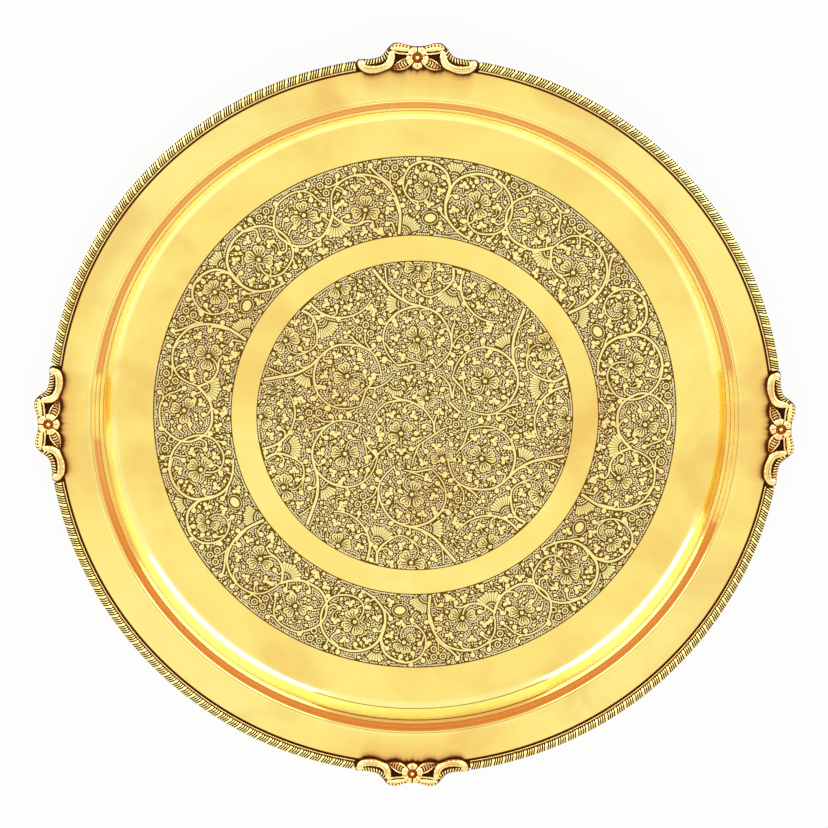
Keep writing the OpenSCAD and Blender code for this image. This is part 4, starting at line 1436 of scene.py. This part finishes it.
def swept(x, y, path):
    """Signed distance across a path, to its left, and the share along it, over a grid."""
    run = np.concatenate([[0], np.cumsum(np.hypot(*(path[1:] - path[:-1]).T))])
    along = np.gradient(path, axis=0)
    along /= np.hypot(*along.T)[:, None]
    dx, dy = x[..., None] - path[:, 0], y[..., None] - path[:, 1]
    near = np.argmin(dx * dx + dy * dy, axis=-1)
    dx = np.take_along_axis(dx, near[..., None], -1)[..., 0]
    dy = np.take_along_axis(dy, near[..., None], -1)[..., 0]
    side = along[near][..., 0] * dy - along[near][..., 1] * dx
    return np.hypot(dx, dy) * np.sign(side), run[near] / run[-1]


def raised(kind, x, y, path, half_w, high):
    """Height of one piece of raised work over a grid of points."""
    across, t = swept(x, y, path)
    start = (t + 0.12) / 1.12
    full = np.maximum(0.15, np.sqrt(np.maximum(1 - np.abs(2 * t - 1) ** 6, 0)))
    if kind == "leaf":
        full = np.maximum(0.1, np.sin(np.pi * start ** 0.75) ** 0.9)
    if kind == "lobe":
        full = np.maximum(0.1, np.sqrt(np.sin(np.pi * start ** 1.1)))
    place = across / (half_w * full)
    inside = np.abs(place) < 1
    arch = np.sqrt(np.clip(1 - np.abs(place) ** 2.6, 0, 1))
    shape = arch
    if kind == "scroll":
        # Two fine lines are chased along the scroll, and short cuts cross it.
        lines = np.exp(-((across - 0.35) / 0.16) ** 2) + 0.7 * np.exp(-((across + 0.55) / 0.14) ** 2)
        cuts = np.clip(np.cos(2 * np.pi * 9 * t) * 4 - 3.2, 0, 1) * (np.abs(place) > 0.45)
        shape = arch * (1 - 0.26 * lines * (t > 0.15) - 0.22 * cuts)
    if kind == "rungs":
        wave = np.cos(2 * np.pi * (11 * t + 0.35 * place))
        shape = arch * (0.3 + 0.7 * np.clip(0.5 + 1.1 * wave, 0, 1))
    if kind == "leaf":
        # The leaf is a raised edge round a hollow, with ribs across its hollow.
        edge = np.exp(-((np.abs(place) - 0.8) / 0.2) ** 2)
        teeth = np.clip(0.5 + 0.8 * np.cos(2 * np.pi * (7 * t + 0.5 * np.abs(place))), 0, 1)
        shape = np.maximum(edge, 0.16 + 0.26 * teeth * (np.abs(place) < 0.55)) * (arch > 0)
    if kind == "lobe":
        # Ribs fan out to a beaded outer edge.
        fan = np.cos(2 * np.pi * (6.5 * t + 0.25 * place))
        bead = np.clip(0.5 + 0.9 * fan, 0, 1)
        crease = np.exp(-((place - 0.3) / 0.1) ** 2)
        shape = arch * (1 - (1 - bead) * np.clip(place * 0.9 + 0.2, 0.1, 0.55)) * (1 - 0.3 * crease)
    return np.where(inside, high * np.sqrt(full) * shape, 0)


def flower(x, y, boss_h):
    """Height of a five-petalled flower with a boss in a cup, centred on the origin."""
    petal_r, boss_r = 4.75, 1.0
    r, a = np.hypot(x, y), np.arctan2(y, x) + np.pi / 2
    fifth = 2 * np.pi / 5
    turn = (a + fifth / 2) % fifth - fifth / 2
    reach = petal_r * (0.82 + 0.18 * np.cos(turn * 2.5) ** 0.7)
    t = np.clip((r - CUP_R) / (reach - CUP_R), 0, 1)
    petal = np.clip(t / 0.18, 0, 1) ** 0.5 * (1 - t ** 2.5) ** 0.5
    seam = r * np.abs(np.sin(fifth / 2 - np.abs(turn)))
    fold = r * np.abs(np.sin(turn))
    petal *= 1 - 0.55 * np.exp(-(seam / 0.3) ** 2)
    petal *= 1 - 0.25 * np.exp(-(fold / 0.25) ** 2) * (t < 0.75)
    petal = np.where((r > CUP_R) & (t < 1), 1.3 * petal, 0.25 * (r < CUP_R))
    return np.maximum(petal, boss_h * np.sqrt(np.clip(1 - (r / boss_r) ** 2, 0, 1)))


def blur(field, reach):
    """A box blur over a grid."""
    out = field
    for axis in (0, 1):
        padded = np.concatenate([np.repeat(np.take(out, [0], axis), reach, axis), out,
                                 np.repeat(np.take(out, [-1], axis), reach, axis)], axis)
        total = np.cumsum(padded, axis)
        total = np.concatenate([np.zeros_like(np.take(total, [0], axis)), total], axis)
        size = out.shape[axis]
        ahead = np.take(total, range(2 * reach + 1, 2 * reach + 1 + size), axis)
        out = (ahead - np.take(total, range(size), axis)) / (2 * reach + 1)
    return out


class THALI_OT_ornaments(bpy.types.Operator):
    """Casts the four ornaments of the rim."""
    bl_idname = "thali.ornaments"
    bl_label = "Ornaments"

    def execute(self, context):
        sizes = context.scene.thali_ornaments
        r, z, _ = levels()
        in_r, out_r = r["cast_in"], r["cast_out"]
        half_angle = sizes.length / 2 / MM / r["border"]

        def spot(share):
            """A place on the ornament, in mm, from shares of its length and depth."""
            a, q = share[0] * half_angle, in_r + share[1] * (out_r - in_r)
            return q * math.sin(a), q * math.cos(a)

        x, y, inset = self.outline_grid(sizes, in_r, out_r, half_angle)
        height, cup = self.relief(sizes, x, y, spot)
        plate, rounding = sizes.plate / MM, 0.5
        rim = np.minimum(inset, rounding)
        top = plate + height - 0.45 * (1 - rim / rounding) ** 2
        patina = self.hollows(top, height, cup, rim)
        top_z = z["seat"] + np.clip(top, 0.1, plate + sizes.boss_h / MM)
        verts, faces, dark = self.closed(x, y, top_z, patina, z["seat"])
        source = new_object("ornament_cast", verts, faces, dark)
        repeat = bpy.data.node_groups.get("repeat_round") or round_tree()
        finish = finish_material("antiqued_cast_brass")
        for k, name in enumerate(ORNAMENTS):
            piece = grown(name + "_cast", source, repeat, {
                "Copies": 1, "Start": k * math.pi / 2, "Merge": 1e-6, "Material": finish})
            tidy(piece, 75)
            place_piece(piece, "antiqued_brass", name)
        drop(source)
        return {"FINISHED"}

    @staticmethod
    def outline_grid(sizes, in_r, out_r, half_angle):
        """A grid of points inside the ornament's outline, and how far each lies from its edge."""
        # The points lie closer together towards both tips.
        u = np.sin(np.linspace(-math.pi / 2, math.pi / 2, sizes.steps_along))
        outer = smooth_path(OUTER_EDGE, 8)
        inner = smooth_path(INNER_EDGE, 8)[::-1]
        v_out = np.interp(np.abs(u), np.maximum.accumulate(outer[:, 0]), outer[:, 1])
        v_in = np.interp(np.abs(u), np.maximum.accumulate(inner[:, 0]), inner[:, 1])
        t = np.linspace(0, 1, sizes.steps_across)
        v = v_in[:, None] + (v_out - v_in)[:, None] * t[None, :]
        q = in_r + np.clip(v, 0.0, 1.0) * (out_r - in_r)
        a = (u * half_angle)[:, None] + 0 * q
        inset = np.minimum(t, 1 - t)[None, :] * (v_out - v_in)[:, None] * (out_r - in_r)
        return q * np.sin(a), q * np.cos(a), inset

    @staticmethod
    def hollows(top, height, cup, rim):
        """Patina in what lies lower than its surroundings and on the back plate, and a dark line along the
        edge.
        """
        shade = blur(blur(top, 4), 4)
        patina = np.clip((shade - top) * 2.0, 0, 0.7) + np.clip((0.55 - height) * 1.6, 0, 1)
        patina = np.where(cup, np.minimum(patina, 0.5), patina)
        return np.clip(np.maximum(patina, 0.6 - rim / 0.25), 0, 1)

    @staticmethod
    def closed(x, y, top_z, patina, seat):
        """The relief's grid, closed by its sides and a flat underside."""
        n_s, n_t = x.shape
        verts = np.stack([x, y, top_z], -1).reshape(-1, 3).tolist()
        dark = patina.ravel().tolist()
        faces = [(i * n_t + j, (i + 1) * n_t + j, (i + 1) * n_t + j + 1, i * n_t + j + 1)
                 for i in range(n_s - 1) for j in range(n_t - 1)]
        base = len(verts)
        for i in range(n_s):
            for j in (0, n_t - 1):
                verts.append((x[i, j], y[i, j], seat))
                dark.append(0.5)
        for i in range(n_s - 1):
            low, high = base + 2 * i, base + 2 * i + 1
            faces += [(i * n_t, low, low + 2, (i + 1) * n_t),
                      (i * n_t + n_t - 1, (i + 1) * n_t + n_t - 1, high + 2, high),
                      (low, high, high + 2, low + 2)]
        return verts, faces, dark

    @staticmethod
    def relief(sizes, x, y, spot):
        """Height of all the raised work above the back plate, and where the flower's cup is."""
        height = np.zeros_like(x)
        side_x = np.abs(x)
        for kind, shares, half_w, high in ORNAMENT_WORK:
            path = smooth_path([spot(share) for share in shares], 16)
            height = np.maximum(height, raised(kind, side_x, y, path, half_w, high))
        # The inner scroll ends in a round knob.
        cx, cy = spot((0.925, 0.36))
        knob = np.hypot((side_x - cx) / 1.7, (y - cy) / 2.1)
        height = np.maximum(height, 1.25 * np.sqrt(np.clip(1 - knob ** 2, 0, 1)))
        cx, cy = spot((0, 0.48))
        bloom = flower(x - cx, y - cy, sizes.boss_h / MM)
        cup = np.hypot(x - cx, y - cy) < CUP_R
        height = np.where(cup, bloom, np.maximum(height, bloom))
        hollow = smooth_path([spot(share) for share in [(0.21, 0.5), (0.29, 0.51), (0.37, 0.53)]], 8)
        dx, dy = side_x[..., None] - hollow[:, 0], y[..., None] - hollow[:, 1]
        near = np.sqrt(np.min(dx * dx + dy * dy, -1))
        return height - np.where(height < 0.05, 0.8 * np.exp(-(near / 1.0) ** 4), 0), cup


# The stage

class THALI_OT_stage(bpy.types.Operator):
    """Sets the floor, the soft studio lights and the camera."""
    bl_idname = "thali.stage"
    bl_label = "Stage"

    def execute(self, context):
        scene = context.scene
        half, level = 3000, -0.05
        corners = [(-half, -half, level), (half, -half, level), (half, half, level), (-half, half, level)]
        floor = new_object("studio_floor", corners, [(0, 1, 2, 3)])
        floor.data.materials.append(floor_material(list(scene.thali_finish.floor)))
        self.world(scene)
        # Two tall white cards stand behind the plate. The cove shows them as two white arcs.
        high, away, foot, glow = 1.5, 1.2, 0.04, 4.2
        for name, azimuth, wide in (("card_left", 147, 1.1), ("card_right", 41, 1.15)):
            lamp = bpy.data.lights.new(name, "AREA")
            lamp.shape, lamp.size, lamp.size_y = "RECTANGLE", wide, high
            lamp.energy = glow * math.pi * wide * high
            card = bpy.data.objects.new(name, lamp)
            scene.collection.objects.link(card)
            a = math.radians(azimuth)
            card.location = (away * math.cos(a), away * math.sin(a), foot + high / 2)
            card.rotation_euler = Vector((math.cos(a), math.sin(a), 0.1)).to_track_quat("Z", "Y").to_euler()
            card.visible_diffuse = False
        # The camera's tilt from straight above, distance and roll fit the photograph.
        tilt, far, aim_z = math.radians(12.24), 1.024, 0.0012
        roll = math.radians(0.4)
        lens = bpy.data.cameras.new("camera")
        lens.sensor_width, lens.lens = 36, 107.2
        lens.shift_x, lens.shift_y = -0.00095, 0.0043
        camera = bpy.data.objects.new("camera", lens)
        scene.collection.objects.link(camera)
        side = far * math.sin(tilt)
        camera.location = (-side * math.sin(roll), side * math.cos(roll), far * math.cos(tilt) + aim_z)
        camera.rotation_euler = (-tilt, 0, roll)
        scene.camera = camera
        scene.view_settings.view_transform = "Standard"
        return {"FINISHED"}

    @staticmethod
    def world(scene):
        """A pale room. Its front wall is the brightest, and the back is dark near the floor.

        The metal mirrors that dark part, but the camera sees a white room."""
        world = bpy.data.worlds.new("pale_room")
        scene.world = world
        world.use_nodes = True
        tree = world.node_tree
        coords = node(tree, "ShaderNodeTexCoord").outputs["Generated"]
        split = node(tree, "ShaderNodeSeparateXYZ", {"Vector": coords})
        # A direction in the room has parts from -1 to 1.
        up, back = split.outputs["Z"], split.outputs["Y"]
        shade = math_node(tree, "MULTIPLY", map_range(tree, up, 0.27, 0.15), map_range(tree, back, 0.2, 0.8))
        seen = node(tree, "ShaderNodeLightPath").outputs["Is Camera Ray"]
        shade = math_node(tree, "MULTIPLY", shade, math_node(tree, "SUBTRACT", 1.0, seen))
        white, umber = (1, 1, 1, 1), linear("#6B4526")
        colour = node(tree, "ShaderNodeMix", {0: shade}, data_type="RGBA", A=white, B=umber)
        in_front = map_range(tree, back, -0.34, -0.54)
        wall = math_node(tree, "MULTIPLY", map_range(tree, up, 0.02, 0.15), in_front)
        background = tree.nodes["Background"]
        tree.links.new(colour.outputs["Result"], background.inputs["Color"])
        tree.links.new(map_range(tree, wall, 0, 1, 1.0, 1.26), background.inputs["Strength"])


class THALI_PT_plate(bpy.types.Panel):
    """Lists the plate's sizes and the steps that build it."""
    bl_label = "Thali Plate"
    bl_idname = "THALI_PT_plate"
    bl_space_type = "VIEW_3D"
    bl_region_type = "UI"
    bl_category = "Thali"

    def draw(self, context):
        scene = context.scene
        for group in (scene.thali_dish, scene.thali_engraving, scene.thali_rope,
                      scene.thali_ornaments, scene.thali_finish):
            box = self.layout.box()
            for key in group.bl_rna.properties.keys():
                if key not in ("rna_type", "name"):
                    box.prop(group, key)
        for step in STEPS:
            self.layout.operator(step.bl_idname)


GROUPS = {"thali_dish": ThaliDish, "thali_engraving": ThaliEngraving, "thali_rope": ThaliRope,
          "thali_ornaments": ThaliOrnaments, "thali_finish": ThaliFinish}
STEPS = (THALI_OT_dish, THALI_OT_engraving, THALI_OT_rope_border, THALI_OT_ornaments,
         THALI_OT_stage)


def register():
    """Registers the add-on's classes, and its sizes on the scene."""
    for kind in (*GROUPS.values(), *STEPS, THALI_PT_plate):
        bpy.utils.register_class(kind)
    for name, kind in GROUPS.items():
        setattr(bpy.types.Scene, name, bpy.props.PointerProperty(type=kind))


def unregister():
    """Takes the add-on out again."""
    for name in GROUPS:
        delattr(bpy.types.Scene, name)
    for kind in reversed((*GROUPS.values(), *STEPS, THALI_PT_plate)):
        bpy.utils.unregister_class(kind)


def main():
    """Builds the plate."""
    register()
    bpy.ops.thali.dish()
    bpy.ops.thali.engraving()
    bpy.ops.thali.rope_border()
    bpy.ops.thali.ornaments()
    bpy.ops.thali.stage()


if __name__ == "__main__":
    main()
